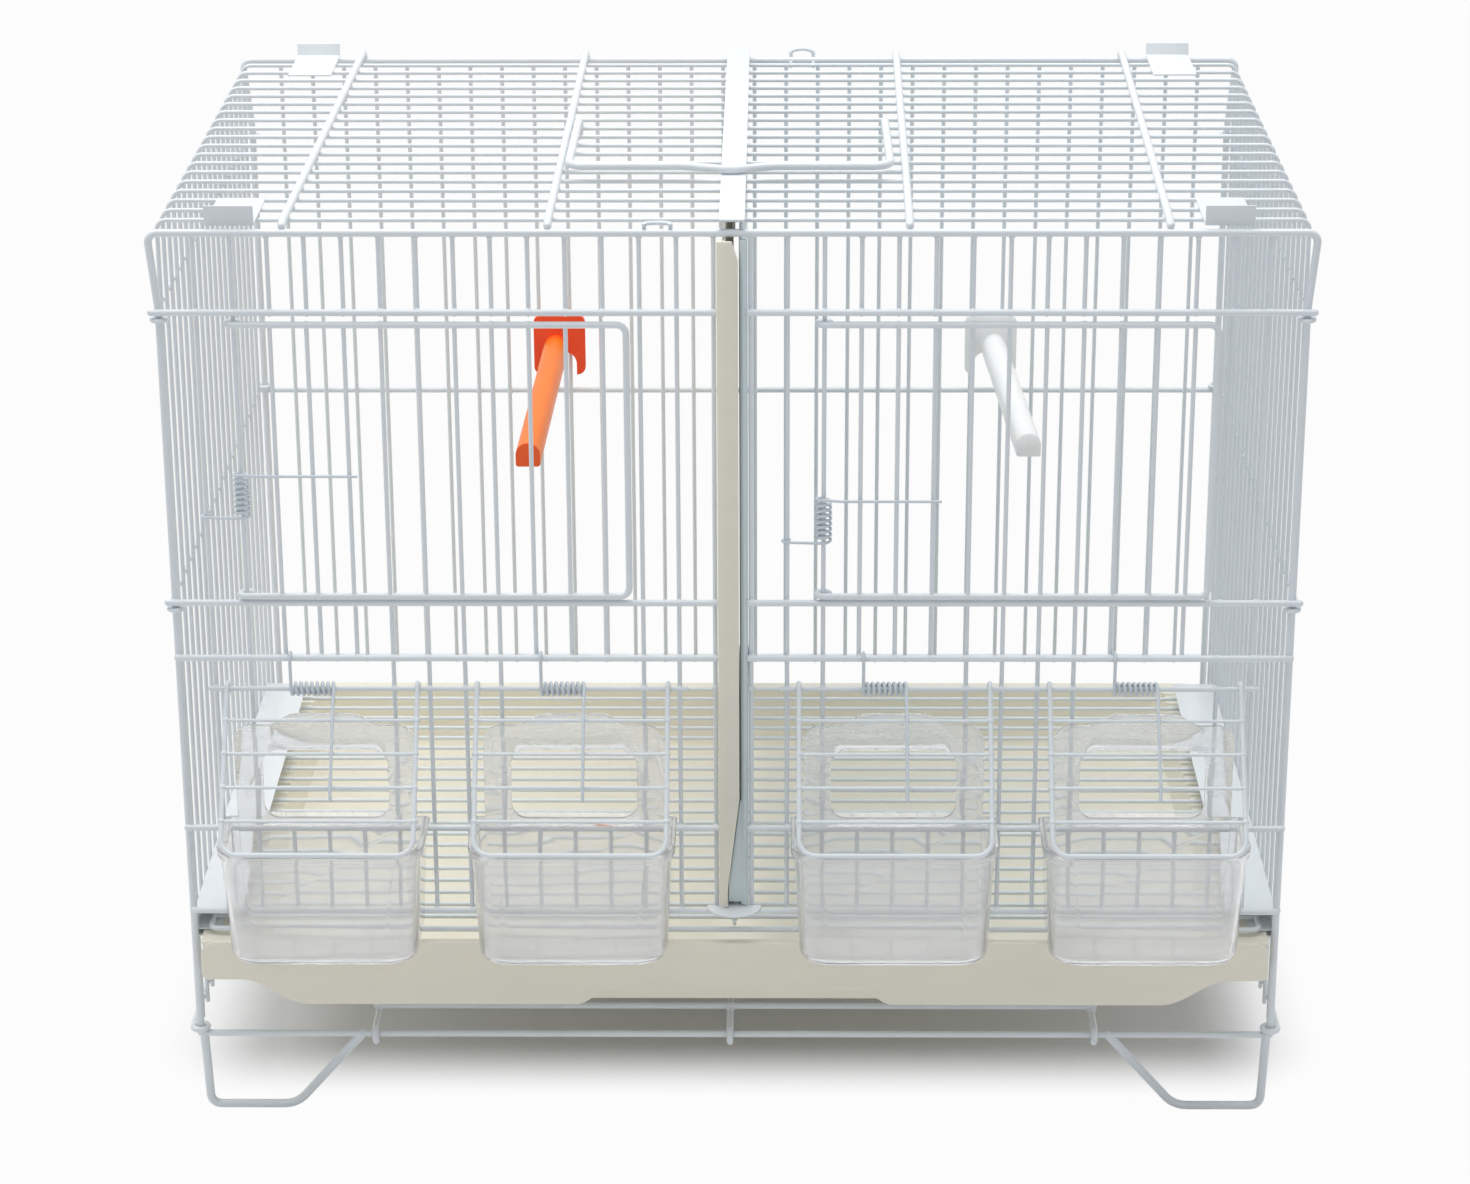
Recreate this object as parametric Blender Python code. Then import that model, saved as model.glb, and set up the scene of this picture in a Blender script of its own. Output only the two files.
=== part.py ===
"""Double bird breeding cage: a wire cage that a pair of slide-in dividers halves, with a sprung door
and two outside feeders in each half, a floor grate over a pull-out tray, and wire feet.

Metres, +Z up, +X to the right seen from the front, +Y towards the back. The origin is on the floor,
under the middle of the cage's overall box.
"""

import math

import bmesh
import bpy
from mathutils import Vector

# Driving sizes: the wire grid and the box of the cage
PITCH = 0.015
COLUMNS_PER_HALF = 15
DEPTH_PITCHES = 20
POST_OUTSET = 0.015
DEPTH = PITCH * DEPTH_PITCHES
HALF_POST = PITCH * (COLUMNS_PER_HALF - 0.5) + POST_OUTSET

# Wires, by radius
POST_R = 0.0016
RAIL_R = 0.0014
BAR_R = 0.00095
ROD_R = 0.00105
SIDE_RAIL_R = 0.0010
BASE_RING_R = 0.0013
ROOF_BEAM_R = 0.0017
BASE_RAIL_R = 0.0015
FOOT_R = 0.0019
SLACK = 0.0003
WELD = 0.00025

# Heights of the front panel's rails
RAIL_TOP = 0.3970
DOOR_RAIL_DROP = 0.0328
RAIL_DOOR_BOTTOM = 0.2383
RAIL_FEED_TOP = 0.2135
RAIL_FEED_BOTTOM = 0.1355
RAIL_LOW = 0.0966
ROD_Z = 0.1995
CORNER_R = 0.008
RAIL_OVERHANG = 0.003
ROD_OVERHANG = 0.0012

# Back panel
BACK_RAIL_MID = 0.2374
BACK_RAIL_LOW = 0.0577

# Doors
DOOR_COLUMNS = 10
DOOR_OVERREACH = 0.0095
DOOR_HEAD_GAP = 0.0050
DOOR_FOOT_GAP = 0.0004
DOOR_R = 0.0014
DOOR_CORNER_R = 0.008

# Feeders and flaps
FEEDER_PLACES = (-11.5, -4.5, 4.5, 11.5)
FEEDER_COLUMNS = 3
CUP_HALF_WIDTH = 0.0420
CUP_TAPER = 0.0025
CUP_DEPTH = 0.0444
CUP_FLOOR_Z = 0.0940
CUP_RIM_Z = 0.1423
CUP_WALL = 0.0014
CUP_LIP = 0.0015
CUP_CORNER_R = 0.014
BACKPLATE_HALF_WIDTH = 0.038
BACKPLATE_DIP_Z = 0.1841
BACKPLATE_ARCH = 0.0052
BACKPLATE_ARCH_HALF_WIDTH = 0.024
BACKPLATE_CORNER_R = 0.008
BACKPLATE_T = 0.0018
WINDOW_HALF_WIDTH = 0.028
WINDOW_HEIGHT = 0.033
WINDOW_CORNER_R = 0.0066
TONGUE_T = 0.0015
TONGUE_REACH = 0.008
FLAP_HALF_WIDTH = 0.040
FLAP_R = 0.00105
FLAP_BAR_R = 0.00075
FLAP_BARS = 4
FLAP_CORNER_R = 0.007

# Springs
DOOR_COIL_R = 0.0030
DOOR_SPRING_R = 0.0005
DOOR_SPRING_TURNS = 7
DOOR_SPRING_PITCH = 0.0027
DOOR_SPRING_LEFT_Z = 0.2759
DOOR_SPRING_RIGHT_Z = 0.2651
DOOR_SPRING_ARM = 0.048
FLAP_COIL_R = 0.00255
FLAP_SPRING_R = 0.00045
FLAP_SPRING_TURNS = 7
FLAP_SPRING_PITCH = 0.00257
FLAP_SPRING_SHIFT = -0.004
FLAP_SPRING_ARM = 0.049
POINTS_PER_TURN = 8

# Roof
ROOF_BEAM_OUTER = 0.179
ROOF_BEAM_INNER = 0.074
BEND_R = 0.006
CHANNEL_HALF_WIDTH = 0.0052
CHANNEL_HEIGHT = 0.0035
SHEET_T = 0.0008
LUG_LENGTH = 0.008
LUG_DROP = 0.0135
LUG_GAPS = (2, 7, 14)
HANDLE_WIRE = 11
HANDLE_R = 0.0018
HANDLE_HALF_WIDTH = 0.0685
HANDLE_REACH = 0.071
HANDLE_BOW = 0.005
HANDLE_BOW_STEPS = 6
CLIP_BEAM_GAP = 0.0118
CLIP_WIDTH = 0.020
CLIP_LENGTH = 0.040
CLIP_LIP = 0.0062
HANG_LOOP_R = 0.0009
HANG_LOOP_WIDTH = 0.0124
HANG_LOOP_PLACE = 2
HANG_LOOP_HEIGHT = 0.0075

# Side rails
SIDE_RAIL_DROP = 0.0362
SIDE_RAIL_MID = 0.2351

# Base
BASE_RAIL_Z = 0.0365
FOOT_HALF_WIDTH = 0.2245
FOOT_INNER = 0.192
FOOT_BRACE = 0.162
SUPPORT_OUTER_X = 0.156
SUPPORT_MIDDLE_X = -0.002

# Tray, grate, side guards and dividers
TRAY_SIDE_GAP = 0.00265
TRAY_LEDGE_GAP = 0.00945
TRAY_TOP = 0.0850
TRAY_SHOULDER = 0.0674
TRAY_BOTTOM = 0.0557
TRAY_WALL = 0.0020
TRAY_FLANGE_T = 0.0017
TRAY_FRONT = 0.008
TRAY_REAR_GAP = 0.008
TRAY_GRIP_HALF_WIDTH = 0.061
TRAY_GRIP_DEPTH = 0.0068
GUARD_LEDGE = 0.011
GUARD_REACH = 0.0185
GUARD_RISE = 0.0210
GRATE_R = 0.0012
GRATE_SIDE_GAP = 0.00495
GRATE_GAPS = 27
GRATE_FRONT = 0.013
GRATE_REAR_GAP = 0.0045
GRATE_STAY_R = 0.0008
DIVIDER_TOP_GAP = 0.0008
DIVIDER_REAR_GAP = 0.004
LEAF_A_X = -0.0033
LEAF_A_T = 0.0015
LEAF_B_X = 0.0034
LEAF_B_T = 0.0012
FLANGE_T = 0.0015
FLANGE_FOOT_WIDTH = 0.0027
FLANGE_TAPER_Z = 0.150
FLANGE_NOTCH = 0.0025
FLANGE_NOTCH_HEIGHT = 0.008
ROLL_R = 0.00175
CENTRE_RIB_X = 0.0007
TRACK_RIB = 0.0055
TAB_R = 0.0116
TAB_NECK = 0.0077

# Perches
PERCH_COLUMNS = (-6, 8)
PERCH_LENGTH = 0.190
PERCH_WIDTH = 0.0105
PERCH_HEIGHT = 0.0110
PERCH_Z = 0.2520
PERCH_PLATE_WIDTH = 0.027
PERCH_PLATE_HEIGHT = 0.028
PERCH_PLATE_T = 0.003
PERCH_HOOK_T = 0.002
PERCH_HOOK_HEIGHT = 0.008

# Worked out from the sizes above
RAIL_DOOR_TOP = RAIL_TOP - DOOR_RAIL_DROP
DOOR_TOP = RAIL_DOOR_TOP - DOOR_HEAD_GAP
SIDE_RAIL_TOP = RAIL_TOP - SIDE_RAIL_DROP
FEEDER_CENTRES = [PITCH * k for k in FEEDER_PLACES]
ROOF_BEAMS = (-ROOF_BEAM_OUTER, -ROOF_BEAM_INNER, ROOF_BEAM_INNER, ROOF_BEAM_OUTER)
DOOR_WIDTH = PITCH * DOOR_COLUMNS + DOOR_OVERREACH
HANG_LOOP_X = PITCH * HANG_LOOP_PLACE
CLIP_CENTRE = ROOF_BEAM_OUTER + ROOF_BEAM_R + CLIP_BEAM_GAP + CLIP_WIDTH / 2
SUPPORT_X = (-SUPPORT_OUTER_X, SUPPORT_MIDDLE_X, SUPPORT_OUTER_X)
RAIL_OFFSET = RAIL_R + BAR_R - WELD
ROD_OFFSET = ROD_R + BAR_R - WELD
HOOK_R = POST_R + SLACK + ROOF_BEAM_R
FEEDER_STANDOFF = RAIL_OFFSET + RAIL_R + SLACK
FEEDER_OUT = FEEDER_STANDOFF + CUP_DEPTH
FRONT = -(DEPTH + HOOK_R + ROOF_BEAM_R - FEEDER_OUT) / 2
BACK = FRONT + DEPTH
SIDE_RING_R = POST_R + SLACK + SIDE_RAIL_R
BASE_LOOP_R = POST_R + SLACK + BASE_RING_R
SIDE_X = HALF_POST + SIDE_RING_R - SIDE_RAIL_R - BAR_R + WELD
HALF_HEX = math.cos(math.pi / 6)
FOOT_Z = FOOT_R * HALF_HEX
BASE_RING_Z = BASE_RAIL_Z + BASE_RAIL_R + SLACK + BASE_RING_R
POST_END = BASE_RAIL_Z + BASE_RAIL_R + SLACK
SUPPORT_Z = BASE_RAIL_Z + 2 * BASE_RAIL_R + SLACK
BEAM_Z = RAIL_TOP + HOOK_R
ROOF_Z = BEAM_Z - ROOF_BEAM_R - BAR_R + WELD
ROOF_SEAT = ROOF_Z + BAR_R + SLACK
ROD_Y = FRONT - ROD_OFFSET
GUARD_X = SIDE_X - BAR_R - SLACK
GUARD_LEDGE_X = GUARD_X - GUARD_LEDGE
TRAY_HALF_WIDTH = GUARD_X - SHEET_T - TRAY_SIDE_GAP
TRAY_BODY_HALF_WIDTH = GUARD_LEDGE_X - TRAY_LEDGE_GAP
GRATE_HALF_WIDTH = GUARD_X - SHEET_T - GRATE_SIDE_GAP - GRATE_R
TRAY_LEDGE_Z = TRAY_TOP - TRAY_FLANGE_T - SLACK
GRATE_LEDGE_Z = TRAY_TOP + SLACK + SHEET_T
GRATE_Z = GRATE_LEDGE_Z + SLACK + GRATE_R
GUARD_Z = GRATE_Z + GRATE_R + 2 * SLACK
TRACK_Z = RAIL_LOW + RAIL_R + SLACK
LEAF_FOOT = TRACK_Z + SHEET_T + SLACK
LEAF_TOP = RAIL_TOP - POST_R - DIVIDER_TOP_GAP
SLOT_HALF_WIDTH = PITCH / 2 - BAR_R - SLACK
ROLL_X = SLOT_HALF_WIDTH - ROLL_R
FLANGE_RIGHT = ROLL_X - ROLL_R - SLACK
DOOR_HINGES = (-PITCH * 13.5, PITCH * 2.5)
DOOR_BOTTOM = RAIL_DOOR_BOTTOM + RAIL_R + DOOR_FOOT_GAP + DOOR_R
DOOR_EYE_R = BAR_R + SLACK + DOOR_R
FLAP_EYE_R = ROD_R + SLACK + FLAP_R
COLUMNS = [side * PITCH * (k + 0.5) for side in (-1, 1) for k in range(COLUMNS_PER_HALF)]

AXIS_X = Vector((1, 0, 0))
AXIS_Y = Vector((0, 1, 0))
AXIS_Z = Vector((0, 0, 1))

# A flap rests with its bottom bar on its feeder's rim
FLAP_RISE = ROD_Z - (CUP_RIM_Z + SLACK + FLAP_R)
FLAP_THROW = FEEDER_OUT - CUP_WALL / 2 - ROD_OFFSET
FLAP_SPAN = math.hypot(FLAP_RISE, FLAP_THROW)
FLAP_LENGTH = math.sqrt(FLAP_SPAN**2 - FLAP_EYE_R**2)
FLAP_ANGLE = math.atan2(FLAP_THROW, FLAP_RISE) - math.atan2(FLAP_EYE_R, FLAP_LENGTH)
DOWN_FLAP = Vector((0, -math.sin(FLAP_ANGLE), -math.cos(FLAP_ANGLE)))
OFF_FLAP = Vector((0, -math.cos(FLAP_ANGLE), math.sin(FLAP_ANGLE)))


def clear_scene():
    for obj in list(bpy.data.objects):
        bpy.data.objects.remove(obj)


def material(name, colour, roughness, transmission=0.0, metallic=0.0):
    made = bpy.data.materials.new(name)
    made.use_nodes = True
    shader = made.node_tree.nodes["Principled BSDF"]
    shader.inputs["Base Color"].default_value = (*colour, 1)
    shader.inputs["Roughness"].default_value = roughness
    shader.inputs["Metallic"].default_value = metallic
    shader.inputs["Transmission Weight"].default_value = transmission
    made.diffuse_color = (*colour, 1)
    return made


def arc(centre, radius, start, end, steps, first, second):
    """Points on an arc about centre, in degrees from the axis `first` towards `second`."""
    angles = [math.radians(start + (end - start) * k / steps) for k in range(steps + 1)]
    return [centre + radius * (math.cos(a) * first + math.sin(a) * second) for a in angles]


def sweep(bm, points, radius, sides, across):
    """A closed wire along points. A corner of its section faces `across`, and bends are mitred."""
    points = [Vector(p) for p in points]
    runs = [(b - a).normalized() for a, b in zip(points, points[1:])]
    first = (across - across.dot(runs[0]) * runs[0]).normalized()
    second = runs[0].cross(first)
    turns = [2 * math.pi * k / sides for k in range(sides)]
    ring = [points[0] + radius * (math.cos(a) * first + math.sin(a) * second) for a in turns]
    rings = [[bm.verts.new(p) for p in ring]]
    for k, run in enumerate(runs):
        after = runs[min(k + 1, len(runs) - 1)]
        normal = (run + after).normalized()
        reach = run.dot(normal)
        ring = [p + run * ((points[k + 1] - p).dot(normal) / reach) for p in ring]
        rings.append([bm.verts.new(p) for p in ring])
    for one, two in zip(rings, rings[1:]):
        for k in range(sides):
            bm.faces.new((one[k - 1], one[k], two[k], two[k - 1]))
    bm.faces.new(list(reversed(rings[0])))
    bm.faces.new(rings[-1])


def bar(bm, start, end, radius, sides=4, across=AXIS_Y):
    sweep(bm, (start, end), radius, sides, across)


def prism(bm, outline, low, high, axis):
    """An outline in two coordinates, extruded along the third axis from low to high."""
    place = {
        "X": lambda a, b, c: (c, a, b),
        "Y": lambda a, b, c: (a, c, b),
        "Z": lambda a, b, c: (a, b, c),
    }[axis]
    near = [bm.verts.new(place(a, b, low)) for a, b in outline]
    far = [bm.verts.new(place(a, b, high)) for a, b in outline]
    for k in range(len(outline)):
        bm.faces.new((near[k - 1], near[k], far[k], far[k - 1]))
    bm.faces.new(list(reversed(near)))
    bm.faces.new(far)


def block(bm, low, high):
    corners = ((low[0], low[1]), (high[0], low[1]), (high[0], high[1]), (low[0], high[1]))
    prism(bm, corners, low[2], high[2], "Z")


def loft(bm, rings):
    """A closed skin through rings of points, with the first and last ring capped."""
    made = [[bm.verts.new(p) for p in ring] for ring in rings]
    for one, two in zip(made, made[1:]):
        for k in range(len(one)):
            bm.faces.new((one[k - 1], one[k], two[k], two[k - 1]))
    bm.faces.new(list(reversed(made[0])))
    bm.faces.new(made[-1])


def mesh_of(build, name="layer"):
    """The mesh that a building function draws, with its faces turned outwards."""
    bm = bmesh.new()
    build(bm)
    bmesh.ops.recalc_face_normals(bm, faces=bm.faces)
    mesh = bpy.data.meshes.new(name)
    bm.to_mesh(mesh)
    bm.free()
    return mesh


def combined(base, others, operation):
    """One mesh from a base mesh and others that are joined to it or cut from it."""
    held = [bpy.data.objects.new("operand", mesh) for mesh in [base] + others]
    for obj in held:
        bpy.context.scene.collection.objects.link(obj)
    for other in held[1:]:
        modifier = held[0].modifiers.new("Boolean", "BOOLEAN")
        modifier.operation = operation
        modifier.solver = "EXACT"
        modifier.object = other
    graph = bpy.context.evaluated_depsgraph_get()
    mesh = bpy.data.meshes.new_from_object(held[0].evaluated_get(graph))
    for obj in held:
        bpy.data.objects.remove(obj)
    return mesh


def union(*builders):
    """One mesh from layers that overlap one another, each holding solids clear of each other."""
    meshes = [mesh_of(build) for build in builders]
    return combined(meshes[0], meshes[1:], "UNION")


def piece(name, mesh, look, place=(0, 0, 0)):
    obj = bpy.data.objects.new(name, mesh)
    obj.location = place
    mesh.shade_smooth()
    mesh.set_sharp_from_angle(angle=math.radians(65))
    mesh.materials.clear()
    mesh.materials.append(look)
    bpy.context.scene.collection.objects.link(obj)
    return obj


def hoop(bm, y):
    """The top rail of an end panel and its two corner posts, bent from one wire."""
    high = RAIL_TOP - CORNER_R
    reach = HALF_POST - CORNER_R
    points = [Vector((-HALF_POST, y, POST_END))]
    points += arc(Vector((-reach, y, high)), CORNER_R, 180, 90, 2, AXIS_X, AXIS_Z)
    points += arc(Vector((reach, y, high)), CORNER_R, 90, 0, 2, AXIS_X, AXIS_Z)
    points.append(Vector((HALF_POST, y, POST_END)))
    sweep(bm, points, POST_R, 6, AXIS_X)


def in_door(x):
    return any(hinge + PITCH / 2 < x < hinge + DOOR_WIDTH for hinge in DOOR_HINGES)


def at_feeder(x):
    return any(abs(x - centre) < PITCH * FEEDER_COLUMNS / 2 for centre in FEEDER_CENTRES)


def front_bars(bm):
    """The upright bars, which leave out the door and feeder openings."""
    top_end = RAIL_TOP - WELD
    low_end = RAIL_LOW - RAIL_R
    for x in COLUMNS:
        stretches = [[top_end, RAIL_DOOR_TOP - RAIL_R]]
        if not in_door(x):
            stretches[-1][1] = RAIL_DOOR_BOTTOM - RAIL_R
        else:
            stretches.append([RAIL_DOOR_BOTTOM + RAIL_R, RAIL_DOOR_BOTTOM - RAIL_R])
        if at_feeder(x):
            stretches[-1][1] = RAIL_FEED_TOP - RAIL_R
            stretches.append([RAIL_FEED_BOTTOM + RAIL_R, low_end])
        else:
            stretches[-1][1] = low_end
        for high, low in stretches:
            bar(bm, (x, FRONT, low), (x, FRONT, high), BAR_R)


def front_rails(bm):
    """The cross rails of each half, which stop at the divider slot, and the flaps' hinge rods."""
    y = FRONT - RAIL_OFFSET
    inner = PITCH / 2 - BAR_R
    outer = HALF_POST + RAIL_OVERHANG
    for z in (RAIL_DOOR_TOP, RAIL_DOOR_BOTTOM, RAIL_FEED_TOP, RAIL_FEED_BOTTOM, RAIL_LOW):
        for side in (-1, 1):
            bar(bm, (side * inner, y, z), (side * outer, y, z), RAIL_R, 6)
    for side in (-1, 1):
        near = side * (PITCH * 1.5 - BAR_R - ROD_OVERHANG)
        far = side * (PITCH * (COLUMNS_PER_HALF - 0.5) + BAR_R + ROD_OVERHANG)
        bar(bm, (near, ROD_Y, ROD_Z), (far, ROD_Y, ROD_Z), ROD_R, 6)


def back_bars(bm):
    for x in COLUMNS:
        bar(bm, (x, BACK, BACK_RAIL_LOW - RAIL_R), (x, BACK, RAIL_TOP - WELD), BAR_R)


def back_rails(bm):
    y = BACK + RAIL_OFFSET
    outer = HALF_POST + RAIL_OVERHANG
    for z in (BACK_RAIL_MID, BACK_RAIL_LOW):
        bar(bm, (-outer, y, z), (outer, y, z), RAIL_R, 6)


def roof_wires(bm):
    reach = SIDE_X - BEND_R - SLACK - BAR_R / 2
    for k in range(1, DEPTH_PITCHES):
        y = FRONT + k * PITCH
        bar(bm, (-reach, y, ROOF_Z), (reach, y, ROOF_Z), BAR_R, 4, AXIS_Z)


def roof_beams(bm):
    """The four stout wires over the roof, whose ends hook over the end panels' top rails."""
    for x in ROOF_BEAMS:
        front = arc(Vector((x, FRONT, RAIL_TOP)), HOOK_R, 200, 90, 2, AXIS_Y, AXIS_Z)
        rear = arc(Vector((x, BACK, RAIL_TOP)), HOOK_R, 90, -20, 2, AXIS_Y, AXIS_Z)
        sweep(bm, front + rear, ROOF_BEAM_R, 6, AXIS_Y)


def side_wires(side):
    """The roof wires' ends, bent down to make a side wall."""

    def build(bm):
        for k in range(1, DEPTH_PITCHES):
            y = FRONT + k * PITCH
            centre = Vector((side * (SIDE_X - BEND_R), y, ROOF_Z - BEND_R))
            bend = arc(centre, BEND_R, 90, 0, 1, side * AXIS_X, AXIS_Z)
            foot = Vector((side * SIDE_X, y, BASE_RING_Z - 2 * BASE_RING_R))
            sweep(bm, bend + [foot], BAR_R, 4, AXIS_Y)

    return build


def ringed_rail(bm, side, z, radius, ring_r):
    """A wire along a side wall, each end bent into a ring round a corner post."""
    front = Vector((side * HALF_POST, FRONT, z))
    back = Vector((side * HALF_POST, BACK, z))
    out = side * AXIS_X
    points = arc(front, ring_r, -300, 0, 5, out, AXIS_Y)
    points += arc(back, ring_r, 0, 300, 5, out, AXIS_Y)
    sweep(bm, points, radius, 4, AXIS_Y)


def side_rails(side):
    def build(bm):
        ringed_rail(bm, side, SIDE_RAIL_TOP, SIDE_RAIL_R, SIDE_RING_R)
        ringed_rail(bm, side, SIDE_RAIL_MID, SIDE_RAIL_R, SIDE_RING_R)
        ringed_rail(bm, side, BASE_RING_Z, BASE_RING_R, BASE_LOOP_R)

    return build


def door_frame(bm):
    """The bent door frame, in the door's own coordinates: the hinge bar is on the Z axis."""
    face = -DOOR_EYE_R
    right = DOOR_WIDTH - DOOR_CORNER_R
    top = arc(Vector((0, 0, DOOR_TOP)), DOOR_EYE_R, -310, -90, 5, AXIS_X, AXIS_Y)
    low = arc(Vector((0, 0, DOOR_BOTTOM)), DOOR_EYE_R, -90, -310, 5, AXIS_X, AXIS_Y)
    high_corner = Vector((right, face, DOOR_TOP - DOOR_CORNER_R))
    low_corner = Vector((right, face, DOOR_BOTTOM + DOOR_CORNER_R))
    corners = arc(high_corner, DOOR_CORNER_R, 90, 0, 2, AXIS_X, AXIS_Z)
    corners += arc(low_corner, DOOR_CORNER_R, 0, -90, 2, AXIS_X, AXIS_Z)
    sweep(bm, top + corners + low, DOOR_R, 6, AXIS_Z)


def door_bars(bm):
    for k in range(1, DOOR_COLUMNS + 1):
        x = k * PITCH
        bar(bm, (x, -DOOR_EYE_R, DOOR_BOTTOM + WELD), (x, -DOOR_EYE_R, DOOR_TOP - WELD), BAR_R)


def on_flap(x, along, off):
    """A point of a flap at x across, `along` down from its rod and `off` its face."""
    return x * AXIS_X + along * DOWN_FLAP + off * OFF_FLAP


def flap_frame(bm):
    """The U-shaped flap frame, in the flap's own coordinates: the rod is on the X axis."""
    reach = FLAP_HALF_WIDTH - FLAP_CORNER_R
    low = FLAP_LENGTH - FLAP_CORNER_R
    left_eye = arc(Vector((-FLAP_HALF_WIDTH, 0, 0)), FLAP_EYE_R, -250, 0, 5, OFF_FLAP, DOWN_FLAP)
    right_eye = arc(Vector((FLAP_HALF_WIDTH, 0, 0)), FLAP_EYE_R, 0, -250, 5, OFF_FLAP, DOWN_FLAP)
    left = on_flap(-reach, low, FLAP_EYE_R)
    right = on_flap(reach, low, FLAP_EYE_R)
    bottom = arc(left, FLAP_CORNER_R, 0, 90, 2, -AXIS_X, DOWN_FLAP)
    bottom += arc(right, FLAP_CORNER_R, 90, 0, 2, AXIS_X, DOWN_FLAP)
    sweep(bm, left_eye + bottom + right_eye, FLAP_R, 6, AXIS_X)


def flap_bars(bm):
    for k in range(1, FLAP_BARS + 1):
        along = FLAP_LENGTH * k / (FLAP_BARS + 1)
        ends = [on_flap(x, along, FLAP_EYE_R) for x in (-FLAP_HALF_WIDTH, FLAP_HALF_WIDTH)]
        sweep(bm, ends, FLAP_BAR_R, 4, OFF_FLAP)


def cup_ring(inset, z):
    """The cup's plan at a height: square at the panel, round at the front corners."""
    drop = CUP_TAPER * (CUP_RIM_Z - z) / (CUP_RIM_Z - CUP_FLOOR_Z)
    half = CUP_HALF_WIDTH - drop - inset
    back = -BACKPLATE_T / 2 - max(inset, 0)
    front = -(CUP_DEPTH - CUP_LIP - drop - inset)
    radius = CUP_CORNER_R - inset
    points = [Vector((half, back, z))]
    centre = Vector((half - radius, front + radius, z))
    points += arc(centre, radius, 0, -90, 3, AXIS_X, AXIS_Y)
    centre = Vector((radius - half, front + radius, z))
    points += arc(centre, radius, -90, -180, 3, AXIS_X, AXIS_Y)
    points.append(Vector((-half, back, z)))
    return points


def cup(bm):
    """The open cup with its rolled rim, in the feeder's coordinates: y = 0 is the plate's back."""
    rim_foot = CUP_RIM_Z - 2 * CUP_LIP
    rings = [
        cup_ring(2 * CUP_LIP, CUP_FLOOR_Z),
        cup_ring(0, CUP_FLOOR_Z + 2 * CUP_LIP),
        cup_ring(0, rim_foot),
        cup_ring(-CUP_LIP, rim_foot + CUP_LIP / 2),
        cup_ring(-CUP_LIP, CUP_RIM_Z),
        cup_ring(CUP_WALL, CUP_RIM_Z),
        cup_ring(CUP_WALL, CUP_FLOOR_Z + 2 * CUP_LIP),
        cup_ring(2 * CUP_LIP, CUP_FLOOR_Z + CUP_WALL),
    ]
    loft(bm, rings)


def backplate(bm):
    """The feeder's tall back, whose top edge rises in a low arch between round shoulders."""
    reach = BACKPLATE_HALF_WIDTH - BACKPLATE_CORNER_R
    corner = Vector((reach, 0, BACKPLATE_DIP_Z - BACKPLATE_CORNER_R))
    right = [(BACKPLATE_HALF_WIDTH, CUP_FLOOR_Z + 2 * CUP_LIP)]
    right += [(p.x, p.z) for p in arc(corner, BACKPLATE_CORNER_R, 0, 90, 3, AXIS_X, AXIS_Z)]
    for share in (1, 0.75, 0.5, 0.25):
        lift = BACKPLATE_ARCH * (1 + math.cos(math.pi * share**2)) / 2
        right.append((BACKPLATE_ARCH_HALF_WIDTH * share, BACKPLATE_DIP_Z + lift))
    outline = right + [(-x, z) for x, z in reversed(right)]
    prism(bm, outline, -BACKPLATE_T, 0, "Y")


def tongue(bm):
    """The tongue that rests on the panel's rail."""
    low = RAIL_FEED_BOTTOM + RAIL_R + SLACK
    reach = FEEDER_STANDOFF + TONGUE_REACH
    block(bm, (-WINDOW_HALF_WIDTH, -BACKPLATE_T / 2, low), (WINDOW_HALF_WIDTH, reach, low + TONGUE_T))


def feeder_window(bm):
    low = RAIL_FEED_BOTTOM + RAIL_R + SLACK + 2 * TONGUE_T + CUP_WALL
    high = low + WINDOW_HEIGHT
    radius = WINDOW_CORNER_R
    reach = WINDOW_HALF_WIDTH - radius
    outline = []
    for x, z, start in (
        (reach, low + radius, -90),
        (reach, high - radius, 0),
        (-reach, high - radius, 90),
        (-reach, low + radius, 180),
    ):
        turned = arc(Vector((x, 0, z)), radius, start, start + 90, 2, AXIS_X, AXIS_Z)
        outline += [(p.x, p.z) for p in turned]
    prism(bm, outline, -CUP_LIP - BACKPLATE_T, BACKPLATE_T, "Y")


def cup_hollow(bm):
    """What the back plate would fill of the cup's inside."""
    rings = [cup_ring(CUP_WALL, CUP_FLOOR_Z + 2 * CUP_LIP), cup_ring(CUP_WALL, CUP_RIM_Z + CUP_LIP)]
    for ring in rings:
        ring[0].y = ring[-1].y = -BACKPLATE_T
    loft(bm, rings)


def tube_curve(name, points, radius, look, place):
    """A wound wire as one unbroken tube."""
    data = bpy.data.curves.new(name, "CURVE")
    data.dimensions = "3D"
    data.bevel_depth = radius
    data.bevel_resolution = 1
    data.use_fill_caps = True
    spline = data.splines.new("POLY")
    spline.points.add(len(points) - 1)
    for target, p in zip(spline.points, points):
        target.co = (*p, 1)
    obj = bpy.data.objects.new(name, data)
    obj.location = place
    data.materials.append(look)
    bpy.context.scene.collection.objects.link(obj)
    return obj


def coil(centre, radius, start, turns, step, first, second, along):
    """Points of a helix from the angle `start`, in turns, that climbs by `step` a turn."""
    count = round(abs(turns) * POINTS_PER_TURN)
    points = []
    for k in range(count + 1):
        angle = 2 * math.pi * (start + turns * k / count)
        climb = abs(turns) * step * k / count
        offset = radius * (math.cos(angle) * first + math.sin(angle) * second)
        points.append(centre + offset + climb * along)
    return points


def self_gap(points, radius):
    """The least gap between the surfaces of a tube's stretches that aren't neighbours."""
    least = 1.0
    for i, p in enumerate(points):
        for q in points[i + POINTS_PER_TURN // 2 :]:
            least = min(least, (p - q).length - 2 * radius)
    return least


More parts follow.
